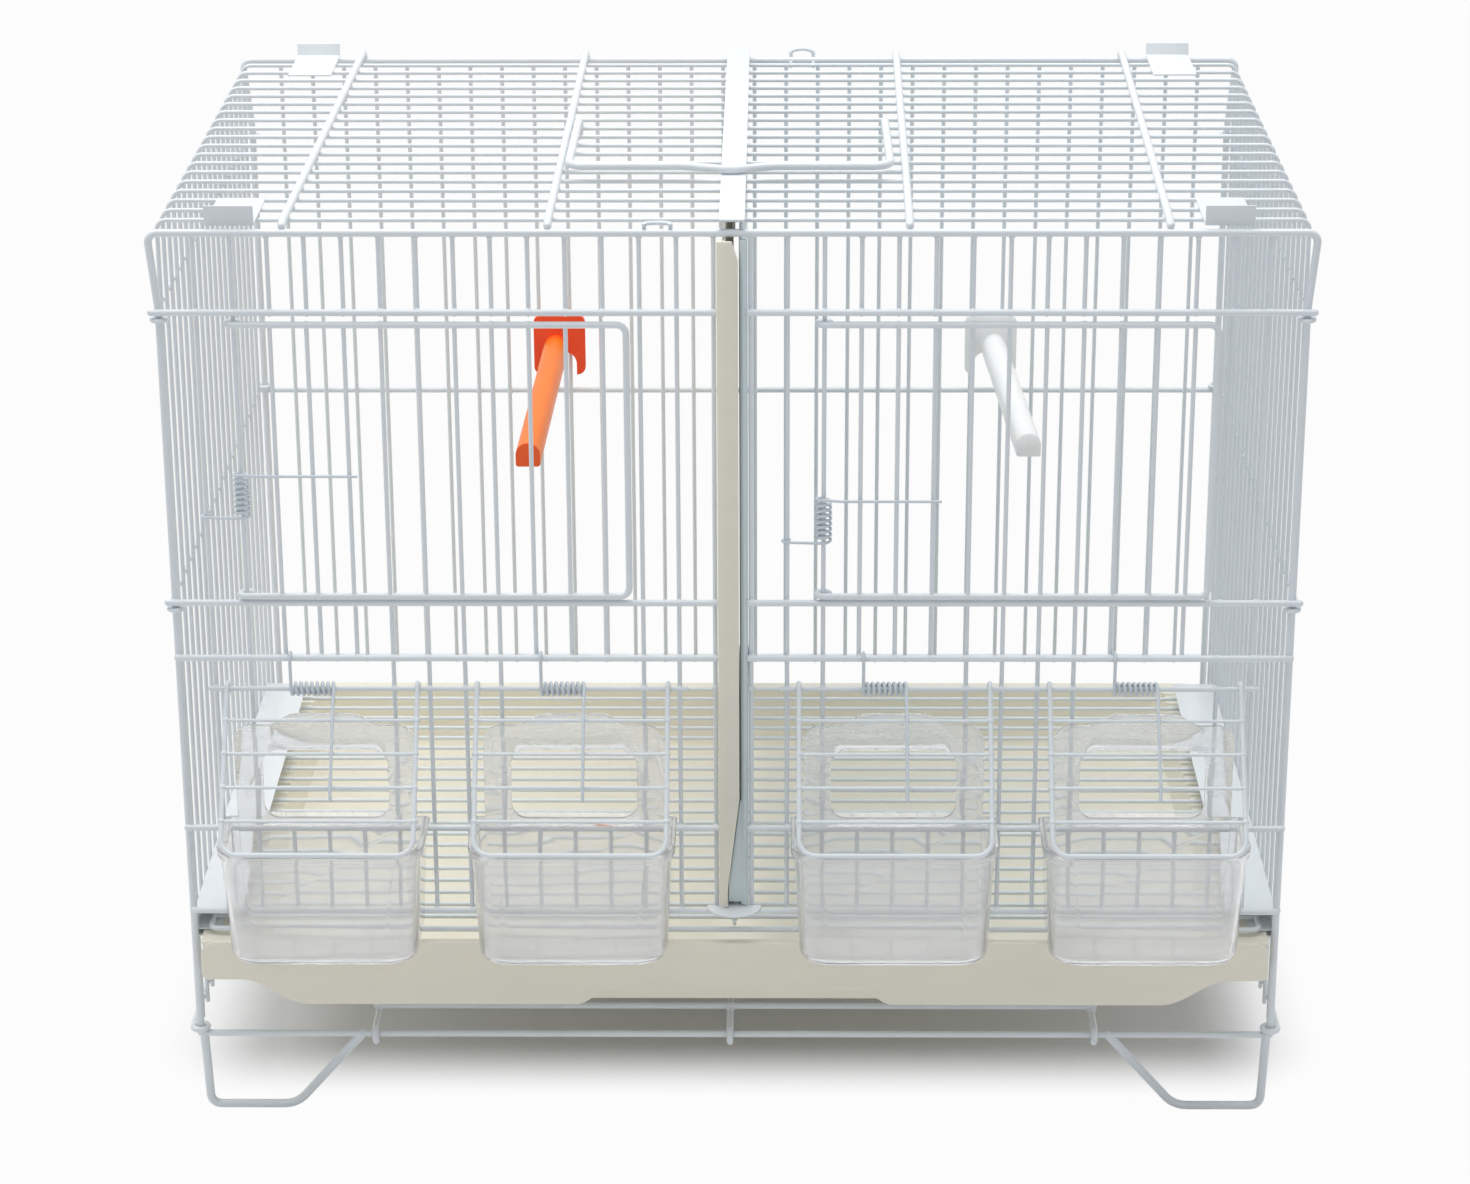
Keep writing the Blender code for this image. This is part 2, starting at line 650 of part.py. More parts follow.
def door_spring_points(foot):
    """Round the hinge bar, with a leg over the door's bars and a hooked leg behind a panel bar."""
    wire = DOOR_SPRING_R
    start = Vector((0, 0, foot))
    step = DOOR_SPRING_PITCH
    turns = coil(start, DOOR_COIL_R, -0.25, DOOR_SPRING_TURNS, step, AXIS_X, AXIS_Y, AXIS_Z)
    z = turns[-1].z
    leg_y = -(DOOR_EYE_R + BAR_R + SLACK + wire)
    leg = [Vector((PITCH / 2, leg_y, z)), Vector((DOOR_SPRING_ARM, leg_y, z))]
    clear = BAR_R + SLACK + wire
    hook = arc(Vector((-PITCH, 0, foot)), clear, 60, 270, 4, AXIS_X, AXIS_Y)
    return hook + turns + leg


def flap_spring_points():
    """Round the rod, with a leg over the rail above and a leg down the flap's face."""
    wire = FLAP_SPRING_R
    length = FLAP_SPRING_TURNS * FLAP_SPRING_PITCH
    left = FLAP_SPRING_SHIFT - length / 2
    front = -AXIS_Y
    down = -AXIS_Z
    turned = FLAP_SPRING_TURNS - FLAP_ANGLE / (2 * math.pi)
    step = length / turned
    turns = coil(left * AXIS_X, FLAP_COIL_R, 0, turned, step, front, down, AXIS_X)
    rail = Vector((left, ROD_OFFSET - RAIL_OFFSET, RAIL_FEED_TOP - ROD_Z))
    clear = RAIL_R + SLACK + wire
    hook = arc(rail, clear, 30, 180, 4, AXIS_Y, AXIS_Z)
    right = turns[-1].x
    face = FLAP_EYE_R + FLAP_R + SLACK + wire
    leg = [on_flap(right, PITCH / 2, face), on_flap(right, FLAP_SPRING_ARM - PITCH / 5, face)]
    leg.append(on_flap(right, FLAP_SPRING_ARM, face - 2 * wire))
    return hook + turns + leg


def handle_mesh(bm):
    """The bail, lying forward, in its own coordinates: the roof wire it turns on is the X axis."""
    eye = BAR_R + 2 * SLACK + HANDLE_R
    rest = ROOF_SEAT - ROOF_Z + CHANNEL_HEIGHT + SLACK + HANDLE_R
    bend = 4 * HANDLE_R
    left_eye = arc(Vector((-HANDLE_HALF_WIDTH, 0, 0)), eye, -230, 0, 4, AXIS_Z, -AXIS_Y)
    right_eye = arc(Vector((HANDLE_HALF_WIDTH, 0, 0)), eye, 0, -230, 4, AXIS_Z, -AXIS_Y)
    reach = HANDLE_HALF_WIDTH - bend
    run = HANDLE_REACH - bend
    left = arc(Vector((-reach, -run, rest)), bend, 0, 90, 2, -AXIS_X, -AXIS_Y)
    right = arc(Vector((reach, -run, rest)), bend, 90, 0, 2, AXIS_X, -AXIS_Y)
    bow = []
    for k in range(HANDLE_BOW_STEPS + 1):
        x = HANDLE_HALF_WIDTH * (k / HANDLE_BOW_STEPS - 0.5)
        share = (1 + math.cos(2 * math.pi * x / HANDLE_HALF_WIDTH)) / 2
        bow.append(Vector((x, -HANDLE_REACH - HANDLE_BOW * share, rest)))
    sweep(bm, left_eye + left + bow + right + right_eye, HANDLE_R, 6, AXIS_X)


def channel(bm):
    """The roof track: an inverted channel over the roof wires, open at both ends."""
    top = ROOF_SEAT + CHANNEL_HEIGHT
    half = CHANNEL_HALF_WIDTH
    wall = half - SHEET_T
    under = top - SHEET_T
    outer = [(half, ROOF_SEAT), (half, top), (-half, top), (-half, ROOF_SEAT)]
    inner = [(-wall, ROOF_SEAT), (-wall, under), (wall, under), (wall, ROOF_SEAT)]
    prism(bm, outer + inner, FRONT - POST_R, BACK + POST_R, "Y")


def channel_lugs(bm):
    """Lugs punched down between the roof wires, which guide the dividers' top edges."""
    top = ROOF_SEAT + CHANNEL_HEIGHT - SHEET_T / 2
    wall = CHANNEL_HALF_WIDTH - SHEET_T / 2
    half = SHEET_T * 3 / 8
    for gap in LUG_GAPS:
        y = FRONT + (gap + 0.5) * PITCH
        for x in (-wall, CENTRE_RIB_X, wall):
            low = (x - half, y - LUG_LENGTH / 2, ROOF_SEAT - LUG_DROP)
            block(bm, low, (x + half, y + LUG_LENGTH / 2, top))


def clip(bm, side, end):
    """A stacking clip: a plate on the roof wires with its outer edge turned up."""
    x = side * CLIP_CENTRE
    edge = (FRONT if end < 0 else BACK) - end * (POST_R + SLACK)
    t = SHEET_T
    seat = ROOF_SEAT
    lean = t
    outline = [
        (edge - end * CLIP_LENGTH, seat),
        (edge, seat),
        (edge + end * lean, seat + CLIP_LIP),
        (edge + end * (lean - t), seat + CLIP_LIP),
        (edge - end * t, seat + t),
        (edge - end * CLIP_LENGTH, seat + t),
    ]
    prism(bm, outline, x - CLIP_WIDTH / 2, x + CLIP_WIDTH / 2, "X")


def hang_loop(bm, rise, over):
    """A U-shaped loop, its own rail being the X axis: it stands along `rise` from behind `over`."""
    half = HANG_LOOP_WIDTH / 2 - HANG_LOOP_R
    seat = POST_R + SLACK + HANG_LOOP_R
    high = HANG_LOOP_HEIGHT
    left_hook = arc(Vector((-half, 0, 0)), seat, -150, 0, 4, over, rise)
    right_hook = arc(Vector((half, 0, 0)), seat, 0, -150, 4, over, rise)
    middle = arc(seat * over + seat * rise, half, 180, 0, 6, AXIS_X, (high / half) * rise)
    sweep(bm, left_hook + middle + right_hook, HANG_LOOP_R, 4, AXIS_X)


def base_rail(bm, y):
    bar(bm, (-HALF_POST, y, BASE_RAIL_Z), (HALF_POST, y, BASE_RAIL_Z), BASE_RAIL_R, 6)


def feet(bm, y):
    """The two feet of one base wire: down, along the floor, and back up as a brace."""
    for side in (-1, 1):
        points = [
            (side * (HALF_POST - FOOT_R), y, BASE_RAIL_Z - BASE_RAIL_R / 2),
            (side * (FOOT_HALF_WIDTH + 2 * FOOT_R), y, FOOT_Z + 2 * FOOT_R),
            (side * FOOT_HALF_WIDTH, y, FOOT_Z),
            (side * (FOOT_INNER + FOOT_R), y, FOOT_Z),
            (side * (FOOT_INNER - FOOT_R), y, FOOT_Z + FOOT_R),
            (side * FOOT_BRACE, y, BASE_RAIL_Z - BASE_RAIL_R / 2),
        ]
        sweep(bm, points, FOOT_R, 6, AXIS_Y)


def support_wires(bm):
    """The wires that tie the two base rails together, hooked round them."""
    hook = 2 * BASE_RAIL_R + SLACK
    for x in SUPPORT_X:
        front = arc(Vector((x, FRONT, BASE_RAIL_Z)), hook, 250, 90, 3, AXIS_Y, AXIS_Z)
        rear = arc(Vector((x, BACK, BASE_RAIL_Z)), hook, 90, -70, 3, AXIS_Y, AXIS_Z)
        sweep(bm, front + rear, BASE_RAIL_R, 6, AXIS_X)


def support_rail(bm):
    y = FRONT + PITCH
    z = SUPPORT_Z + 2 * BASE_RAIL_R - WELD
    reach = SUPPORT_X[-1] + BASE_RAIL_R
    bar(bm, (-reach, y, z), (reach, y, z), BASE_RAIL_R, 6, AXIS_Z)


def tray_pan(bm):
    """The pan's skin, outside then inside, with a flange along its rim."""
    front = FRONT - TRAY_FRONT
    rear = BACK - TRAY_REAR_GAP
    half = TRAY_BODY_HALF_WIDTH
    slope = TRAY_WALL
    flange = TRAY_HALF_WIDTH - TRAY_BODY_HALF_WIDTH

    def ring(grow, z, rim=0.0):
        right = half + grow + rim
        near = front - min(grow, 0) - (TRAY_WALL / 2 if rim else 0)
        far = rear + grow + rim / 4
        plan = ((-right, near), (right, near), (right, far), (-right, far))
        return [Vector((x, y, z)) for x, y in plan]

    under = TRAY_TOP - TRAY_FLANGE_T
    rings = [
        ring(-2 * slope, TRAY_BOTTOM),
        ring(-slope, TRAY_BOTTOM + slope),
        ring(0, under),
        ring(0, under, flange),
        ring(0, TRAY_TOP, flange),
        ring(-TRAY_WALL, TRAY_TOP),
        ring(-slope - TRAY_WALL, TRAY_BOTTOM + slope),
        ring(-2 * slope - TRAY_WALL, TRAY_BOTTOM + TRAY_WALL),
    ]
    loft(bm, rings)


def tray_front(bm):
    """The tray's front: full width above, stepped in below, with a raised grip edge in the middle."""
    half = TRAY_HALF_WIDTH
    body = TRAY_BODY_HALF_WIDTH
    step = half - body
    soft = TRAY_WALL
    grip = TRAY_GRIP_HALF_WIDTH
    grip_z = TRAY_BOTTOM + TRAY_GRIP_DEPTH
    right = [
        (grip - TRAY_GRIP_DEPTH, grip_z),
        (grip + TRAY_GRIP_DEPTH, TRAY_BOTTOM),
        (body - step, TRAY_BOTTOM),
        (body - step / 3, TRAY_BOTTOM + soft),
        (body, TRAY_SHOULDER - soft),
        (body + soft, TRAY_SHOULDER),
        (half - soft, TRAY_SHOULDER),
        (half, TRAY_SHOULDER + soft),
        (half, TRAY_TOP - soft),
        (half - soft, TRAY_TOP),
    ]
    left = [(-x, z) for x, z in reversed(right)]
    front = FRONT - TRAY_FRONT
    prism(bm, right + left, front - TRAY_WALL, front + TRAY_WALL / 2, "Y")


def guard(bm, side):
    """The folded side strip: a ledge for the tray, one for the grate, and a sloped seed guard."""
    wall = GUARD_X - SHEET_T
    ledge = GUARD_LEDGE_X
    lip = GUARD_X - GUARD_REACH
    top = GUARD_Z + GUARD_RISE
    tray_top = TRAY_LEDGE_Z
    grate_top = GRATE_LEDGE_Z
    outline = [
        (GUARD_X, tray_top - SHEET_T),
        (GUARD_X, top + SHEET_T),
        (lip, GUARD_Z + SHEET_T),
        (lip, GUARD_Z),
        (wall, top - SHEET_T),
        (wall, grate_top),
        (ledge, grate_top),
        (ledge, grate_top - SHEET_T),
        (wall, grate_top - SHEET_T),
        (wall, tray_top),
        (ledge, tray_top),
        (ledge, tray_top - SHEET_T),
    ]
    outline = [(side * x, z) for x, z in outline]
    gap = POST_R + 2 * SLACK
    prism(bm, outline, FRONT + gap, BACK - gap, "Y")


def grate_frame(bm):
    """The side rails and the front bar, bent from one wire."""
    half = GRATE_HALF_WIDTH
    bend = 3 * GRATE_R
    front = FRONT - GRATE_FRONT + bend
    rear = BACK - GRATE_REAR_GAP
    points = [Vector((-half, rear, GRATE_Z))]
    points += arc(Vector((bend - half, front, GRATE_Z)), bend, 0, 90, 3, -AXIS_X, -AXIS_Y)
    points += arc(Vector((half - bend, front, GRATE_Z)), bend, 90, 0, 3, AXIS_X, -AXIS_Y)
    points.append(Vector((half, rear, GRATE_Z)))
    sweep(bm, points, GRATE_R, 6, AXIS_X)


def grate_bars(bm):
    half = GRATE_HALF_WIDTH
    start = FRONT - GRATE_FRONT
    run = BACK - GRATE_REAR_GAP - BAR_R - start
    for k in range(1, GRATE_GAPS + 1):
        y = start + run * k / GRATE_GAPS
        bar(bm, (-half, y, GRATE_Z), (half, y, GRATE_Z), BAR_R, 4, AXIS_Z)


def grate_stay(bm):
    """The wire under the middle of the grate, below the floor track."""
    z = GRATE_Z - BAR_R - GRATE_STAY_R + WELD
    front = FRONT - GRATE_FRONT + GRATE_R
    bar(bm, (0, front + PITCH / 2, z), (0, BACK - GRATE_REAR_GAP, z), GRATE_STAY_R, 4, AXIS_Z)


def leaf_sheet(bm, x, thickness, front):
    low = (x - thickness / 2, front, LEAF_FOOT)
    block(bm, low, (x + thickness / 2, BACK - POST_R - DIVIDER_REAR_GAP, LEAF_TOP))


def leaf_flange(bm):
    """The cream divider's front flange, which tapers below and stops short of the other's roll."""
    left = -SLOT_HALF_WIDTH
    low = LEAF_FOOT + BAR_R
    outline = [
        (left, low),
        (left + FLANGE_FOOT_WIDTH, low),
        (FLANGE_RIGHT, FLANGE_TAPER_Z),
        (FLANGE_RIGHT, LEAF_TOP - FLANGE_NOTCH_HEIGHT),
        (FLANGE_RIGHT - FLANGE_NOTCH, LEAF_TOP),
        (left, LEAF_TOP),
    ]
    front = FRONT - RAIL_OFFSET - RAIL_R
    prism(bm, outline, front - FLANGE_T, front, "Y")


def leaf_roll(bm):
    """The white divider's rolled front edge."""
    y = FRONT - ROLL_R / 2
    low = LEAF_FOOT + ROLL_R
    points = [(ROLL_X, y, LEAF_FOOT + SLACK), (ROLL_X, y, low), (ROLL_X, y, LEAF_TOP - WELD)]
    sweep(bm, points, ROLL_R, 8, AXIS_Y)


def track(bm):
    """The floor track: a strip over the grate with three ribs that hold the dividers' feet."""
    half = CHANNEL_HALF_WIDTH
    rib = SHEET_T / 2
    low = TRACK_Z
    top = low + SHEET_T
    high = top + TRACK_RIB
    outline = [(-half, low), (half, low), (half, high), (half - SHEET_T, high), (half - SHEET_T, top)]
    outline += [(CENTRE_RIB_X + rib, top), (CENTRE_RIB_X + rib, high)]
    outline += [(CENTRE_RIB_X - rib, high), (CENTRE_RIB_X - rib, top)]
    outline += [(SHEET_T - half, top), (SHEET_T - half, high), (-half, high)]
    prism(bm, outline, FRONT + BAR_R + SLACK, BACK - BAR_R - 2 * SLACK, "Y")


def track_tab(bm):
    """The half-round tab in front of the panel, and its neck between the slot's bars."""
    centre = Vector((0, FRONT - BAR_R - SLACK, 0))
    half = arc(centre, TAB_R, 180, 360, 12, AXIS_X, AXIS_Y)
    neck = CHANNEL_HALF_WIDTH - SHEET_T / 2
    outline = [(p.x, p.y) for p in half]
    outline += [(neck, centre.y), (neck, FRONT + TAB_NECK), (-neck, FRONT + TAB_NECK)]
    outline.append((-neck, centre.y))
    prism(bm, outline, TRACK_Z + SHEET_T / 8, TRACK_Z + SHEET_T * 7 / 8, "Z")


def perch_bar(bm):
    """The perch, in its own coordinates: flat below, domed above, y = 0 at the plate's front."""
    half = PERCH_WIDTH / 2
    spring = PERCH_HEIGHT - half
    outline = [(-half + SHEET_T, -PERCH_HEIGHT / 2), (-half, SHEET_T - PERCH_HEIGHT / 2)]
    dome = arc(Vector((0, 0, spring - PERCH_HEIGHT / 2)), half, 180, 0, 6, AXIS_X, AXIS_Z)
    outline += [(p.x, p.z) for p in dome]
    outline += [(half, SHEET_T - PERCH_HEIGHT / 2), (half - SHEET_T, -PERCH_HEIGHT / 2)]
    prism(bm, outline, -PERCH_LENGTH, PERCH_PLATE_T / 2, "Y")


def perch_plate(bm):
    half = PERCH_PLATE_WIDTH / 2
    high = PERCH_PLATE_HEIGHT / 2
    block(bm, (-half, 0, -high), (half, PERCH_PLATE_T, high))


def perch_hooks(bm):
    """Two hooks that reach between the back panel's bars and turn outwards behind them."""
    edge = PITCH / 2 - BAR_R - SLACK
    behind = PERCH_PLATE_T + 2 * SLACK + 2 * BAR_R
    for side in (-1, 1):
        outline = [
            (edge - PERCH_HOOK_T, PERCH_PLATE_T / 2),
            (edge, PERCH_PLATE_T / 2),
            (edge, behind),
            (edge + 2 * BAR_R + SLACK, behind),
            (edge + 2 * BAR_R + SLACK, behind + PERCH_HOOK_T),
            (edge - PERCH_HOOK_T, behind + PERCH_HOOK_T),
        ]
        outline = [(side * x, y) for x, y in outline]
        prism(bm, outline, -PERCH_HOOK_HEIGHT / 2, PERCH_HOOK_HEIGHT / 2, "Z")


def build():
    clear_scene()
    coated = material("white_coated_wire", (0.80, 0.84, 0.86), 0.35)
    sheet = material("white_coated_sheet", (0.84, 0.87, 0.88), 0.4)
    cream = material("cream_plastic", (0.82, 0.77, 0.64), 0.45)
    pale = material("pale_plastic", (0.70, 0.76, 0.78), 0.4)
    orange = material("orange_plastic", (0.95, 0.14, 0.02), 0.35)
    milky = material("milky_plastic", (0.88, 0.88, 0.84), 0.4)
    clear = material("clear_plastic", (0.92, 0.94, 0.95), 0.12, transmission=0.9)
    steel = material("coated_spring_wire", (0.74, 0.78, 0.80), 0.3)

    front = union(front_bars, front_rails, lambda bm: hoop(bm, FRONT))
    piece("front_panel", front, coated)
    back = union(back_bars, back_rails, lambda bm: hoop(bm, BACK))
    piece("back_panel", back, coated)
    piece("roof_panel", union(roof_wires, roof_beams), coated)
    for side, word in ((-1, "left"), (1, "right")):
        piece(f"side_panel_{word}", union(side_wires(side), side_rails(side)), coated)
        piece(f"side_guard_{word}", mesh_of(lambda bm: guard(bm, side)), sheet)
    for y, word in ((FRONT, "front"), (BACK, "back")):
        wires = union(lambda bm: base_rail(bm, y), lambda bm: feet(bm, y))
        piece(f"base_{word}", wires, coated)
    piece("base_support", union(support_wires, support_rail), coated)

    spring_feet = (DOOR_SPRING_LEFT_Z, DOOR_SPRING_RIGHT_Z)
    for hinge, foot, word in zip(DOOR_HINGES, spring_feet, ("left", "right")):
        place = (hinge, FRONT, 0)
        piece(f"door_{word}", union(door_frame, door_bars), coated, place)
        points = door_spring_points(foot)
        tube_curve(f"door_spring_{word}", points, DOOR_SPRING_R, steel, place)
        print(f"door_spring_{word}: least gap {1000 * self_gap(points, DOOR_SPRING_R):.2f} mm")

    flap = union(flap_frame, flap_bars)
    feeder = union(cup, backplate, tongue)
    feeder = combined(feeder, [mesh_of(feeder_window), mesh_of(cup_hollow)], "DIFFERENCE")
    spring = flap_spring_points()
    print(f"flap springs: least gap {1000 * self_gap(spring, FLAP_SPRING_R):.2f} mm")
    for k, x in enumerate(FEEDER_CENTRES):
        piece(f"feeder_{k + 1}", feeder.copy(), clear, (x, FRONT - FEEDER_STANDOFF, 0))
        piece(f"flap_{k + 1}", flap.copy(), coated, (x, ROD_Y, ROD_Z))
        tube_curve(f"flap_spring_{k + 1}", spring, FLAP_SPRING_R, steel, (x, ROD_Y, ROD_Z))

    handle_y = FRONT + HANDLE_WIRE * PITCH
    piece("handle", mesh_of(handle_mesh), coated, (0, handle_y, ROOF_Z))
    piece("roof_track", union(channel, channel_lugs), sheet)
    for side, word in ((-1, "left"), (1, "right")):
        piece(f"clip_front_{word}", mesh_of(lambda bm: clip(bm, side, -1)), sheet)
        piece(f"clip_back_{word}", mesh_of(lambda bm: clip(bm, side, 1)), sheet)
    lying = mesh_of(lambda bm: hang_loop(bm, AXIS_Y, AXIS_Z))
    piece("hang_loop_front", lying, coated, (-HANG_LOOP_X, FRONT, RAIL_TOP))
    standing = mesh_of(lambda bm: hang_loop(bm, AXIS_Z, AXIS_Y))
    piece("hang_loop_back", standing, coated, (HANG_LOOP_X, BACK, RAIL_TOP))

    piece("tray", union(tray_pan, tray_front), cream)
    piece("floor_grate", union(grate_frame, grate_bars, grate_stay), coated)
    piece("floor_track", union(track, track_tab), sheet)
    flange_y = FRONT - RAIL_OFFSET - RAIL_R - FLANGE_T / 2
    sheet_a = union(lambda bm: leaf_sheet(bm, LEAF_A_X, LEAF_A_T, flange_y), leaf_flange)
    piece("divider_flanged", sheet_a, cream)
    sheet_b = union(lambda bm: leaf_sheet(bm, LEAF_B_X, LEAF_B_T, FRONT - ROLL_R / 4), leaf_roll)
    piece("divider_rolled", sheet_b, pale)

    perch = union(perch_plate, perch_bar, perch_hooks)
    perch_y = BACK - BAR_R - SLACK - PERCH_PLATE_T
    for column, look, word in zip(PERCH_COLUMNS, (orange, milky), ("left", "right")):
        piece(f"perch_{word}", perch.copy(), look, (column * PITCH, perch_y, PERCH_Z))


build()
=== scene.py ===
# %% [markdown]
# # A double bird breeding cage, finished in Blender
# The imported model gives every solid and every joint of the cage. This lesson dresses it: round
# wires with their welds in place of faceted ones, wound springs, clear feeders, moulded plastic
# and folded sheet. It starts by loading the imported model, which stays where it is throughout.

import math

import bmesh
import bpy
from mathutils import Matrix, Vector


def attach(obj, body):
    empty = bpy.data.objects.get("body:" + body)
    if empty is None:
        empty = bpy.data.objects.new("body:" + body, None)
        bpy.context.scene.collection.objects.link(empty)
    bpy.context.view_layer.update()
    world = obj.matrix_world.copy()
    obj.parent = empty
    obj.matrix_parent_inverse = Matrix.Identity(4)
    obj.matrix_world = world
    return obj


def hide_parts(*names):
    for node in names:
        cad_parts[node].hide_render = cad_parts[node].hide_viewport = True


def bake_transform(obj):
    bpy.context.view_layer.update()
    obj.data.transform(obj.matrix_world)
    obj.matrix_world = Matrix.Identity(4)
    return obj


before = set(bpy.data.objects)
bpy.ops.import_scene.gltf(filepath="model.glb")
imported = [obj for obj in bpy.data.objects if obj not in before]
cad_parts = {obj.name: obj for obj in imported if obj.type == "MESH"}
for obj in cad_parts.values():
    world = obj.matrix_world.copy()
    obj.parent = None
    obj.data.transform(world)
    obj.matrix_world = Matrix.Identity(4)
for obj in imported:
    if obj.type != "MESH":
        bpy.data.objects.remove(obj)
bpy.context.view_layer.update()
X, Y, Z = (Vector(axis) for axis in ((1, 0, 0), (0, 1, 0), (0, 0, 1)))

# %% [markdown]
# ## The camera
# The view was worked out from the wire grid, whose pitch is even: the camera stands 0.82 m above
# the floor and 1.6 m away, looks 21 degrees down and hardly leans. A long lens goes with that.
# Three turns set one after another are easier to read than a matrix of nine numbers.

# %% Set the camera
CAMERA_PLACE = (0.0181, -1.6302, 0.8204)  # metres
CAMERA_DOWN, CAMERA_LEFT, CAMERA_LEAN = 21.05, 0.66, -0.198  # degrees
CAMERA_LENS, CAMERA_SENSOR = 94.72, 36  # millimetres


def placed(name, data):
    """A new object in the scene."""
    obj = bpy.data.objects.new(name, data)
    bpy.context.scene.collection.objects.link(obj)
    return obj


camera_data = bpy.data.cameras.new("camera")
camera_data.sensor_width = CAMERA_SENSOR
camera_data.lens = CAMERA_LENS
camera = placed("camera", camera_data)
turn = Matrix.Rotation(math.radians(CAMERA_LEFT), 4, "Z")
tip = Matrix.Rotation(math.radians(90 - CAMERA_DOWN), 4, "X")
lean = Matrix.Rotation(math.radians(CAMERA_LEAN), 4, "Z")
camera.matrix_world = Matrix.Translation(CAMERA_PLACE) @ turn @ tip @ lean
bpy.context.scene.camera = camera
print("camera at", CAMERA_PLACE, "with a lens of", CAMERA_LENS, "mm")

# %% [markdown]
# ## Writing node trees as Python
# Both shaders and geometry are node trees. A small class wraps a node's output, so that sums and
# products of outputs can be written as in Python, and one method adds any other node.

# %% Define the node helpers
class Signal:
    """One output of a node, which can be added, multiplied and raised like a number."""

    def __init__(self, graph, socket):
        self.graph = graph
        self.socket = socket

    def maths(self, operation, *others):
        values = dict(enumerate(others))
        return self.graph.add("ShaderNodeMath", {"operation": operation}, values)

    def __add__(self, other):
        return self.maths("ADD", self, other)

    def __mul__(self, other):
        return self.maths("MULTIPLY", self, other)

    def __pow__(self, other):
        return self.maths("POWER", self, other)

    def __rsub__(self, other):
        return self.maths("SUBTRACT", other, self)

    __radd__ = __add__
    __rmul__ = __mul__


class Graph:
    """A node tree under construction."""

    def __init__(self, tree):
        self.tree = tree

    def add(self, kind, settings=None, sockets=None, out=0):
        """Any node: its settings first, then the values or links of its sockets."""
        node = self.tree.nodes.new(kind)
        for name, value in (settings or {}).items():
            setattr(node, name, value)
        for name, value in (sockets or {}).items():
            for one in value if isinstance(value, list) else [value]:
                if isinstance(one, Signal):
                    self.tree.links.new(one.socket, node.inputs[name])
                else:
                    node.inputs[name].default_value = one
        return Signal(self, node.outputs[out]) if node.outputs else None

    def mix(self, share, first, second):
        """A colour between two others."""
        sockets = {0: share, 6: first, 7: second}
        return self.add("ShaderNodeMix", {"data_type": "RGBA"}, sockets, out=2)

    def blend(self, share, first, second):
        """A shader between two others."""
        return self.add("ShaderNodeMixShader", None, {0: share, 1: first, 2: second})

    def noise(self, place, scale, detail=2.0, rough=0.5):
        """Soft noise of that many lumps a metre."""
        sockets = {"Vector": place, "Scale": scale, "Detail": detail, "Roughness": rough}
        return self.add("ShaderNodeTexNoise", None, sockets)

    def rise(self, value, low, high, kind="LINEAR"):
        """Climbs from 0 to 1 while the value goes from low to high."""
        sockets = {"Value": value, "From Min": low, "From Max": high}
        return self.add("ShaderNodeMapRange", {"interpolation_type": kind}, sockets)


# %% [markdown]
# ## Two geometry trees
# A cage is the same wire over and over, which could be modelled once and copied by hand. Geometry
# Nodes do it from a few numbers instead. The first tree turns a drawn path into a round wire with
# domed ends and repeats it at an even step. The second sets a small bead of metal and coating on
# every weld, each a little different. Both end as real meshes with a material.

# %% Build the wire tree
BALL_RINGS = 6


def start_tree(name, inputs):
    """A geometry tree with named inputs, and the node that gives them."""
    tree = bpy.data.node_groups.new(name, "GeometryNodeTree")
    tree.interface.new_socket(name="Geometry", in_out="INPUT", socket_type="NodeSocketGeometry")
    for label, kind in inputs:
        tree.interface.new_socket(name=label, in_out="INPUT", socket_type=f"NodeSocket{kind}")
    tree.interface.new_socket(name="Geometry", in_out="OUTPUT", socket_type="NodeSocketGeometry")
    given = tree.nodes.new("NodeGroupInput")
    graph = Graph(tree)
    named = {socket.name: Signal(graph, socket) for socket in given.outputs if socket.name}
    return graph, named


def end_tree(graph, shape, finish):
    """Every tree ends alike: instances made real, shaded smooth, with a material."""
    real = graph.add("GeometryNodeRealizeInstances", None, {"Geometry": shape})
    smooth = graph.add("GeometryNodeSetShadeSmooth", None, {"Geometry": real})
    painted = graph.add("GeometryNodeSetMaterial", None, {"Geometry": smooth, "Material": finish})
    graph.add("NodeGroupOutput", None, {"Geometry": painted})


def wire_tree():
    """A round wire along a path, with domed ends, repeated at an even step."""
    inputs = [("Radius", "Float"), ("Sides", "Int"), ("Count", "Int"), ("Step", "Vector")]
    graph, given = start_tree("repeated_wire", inputs + [("Finish", "Material")])
    path = graph.add("GeometryNodeMeshToCurve", None, {"Mesh": given["Geometry"]})
    section = {"Resolution": given["Sides"], "Radius": given["Radius"]}
    circle = graph.add("GeometryNodeCurvePrimitiveCircle", None, section)
    body = {"Curve": path, "Profile Curve": circle, "Fill Caps": True}
    tube = graph.add("GeometryNodeCurveToMesh", None, body)
    ball = {"Segments": given["Sides"], "Rings": BALL_RINGS, "Radius": given["Radius"]}
    dome = graph.add("GeometryNodeMeshUVSphere", None, ball)
    ends = graph.add("GeometryNodeCurveEndpointSelection")
    tips = {"Points": path, "Selection": ends, "Instance": dome}
    domes = graph.add("GeometryNodeInstanceOnPoints", None, tips)
    one = graph.add("GeometryNodeJoinGeometry", None, {"Geometry": [tube, domes]})
    line = {"Count": given["Count"], "Offset": given["Step"]}
    places = graph.add("GeometryNodeMeshLine", {"mode": "OFFSET"}, line)
    many = graph.add("GeometryNodeInstanceOnPoints", None, {"Points": places, "Instance": one})
    end_tree(graph, many, given["Finish"])
    return graph.tree


WIRE_TREE = wire_tree()
print(WIRE_TREE.name, len(WIRE_TREE.nodes), "nodes")

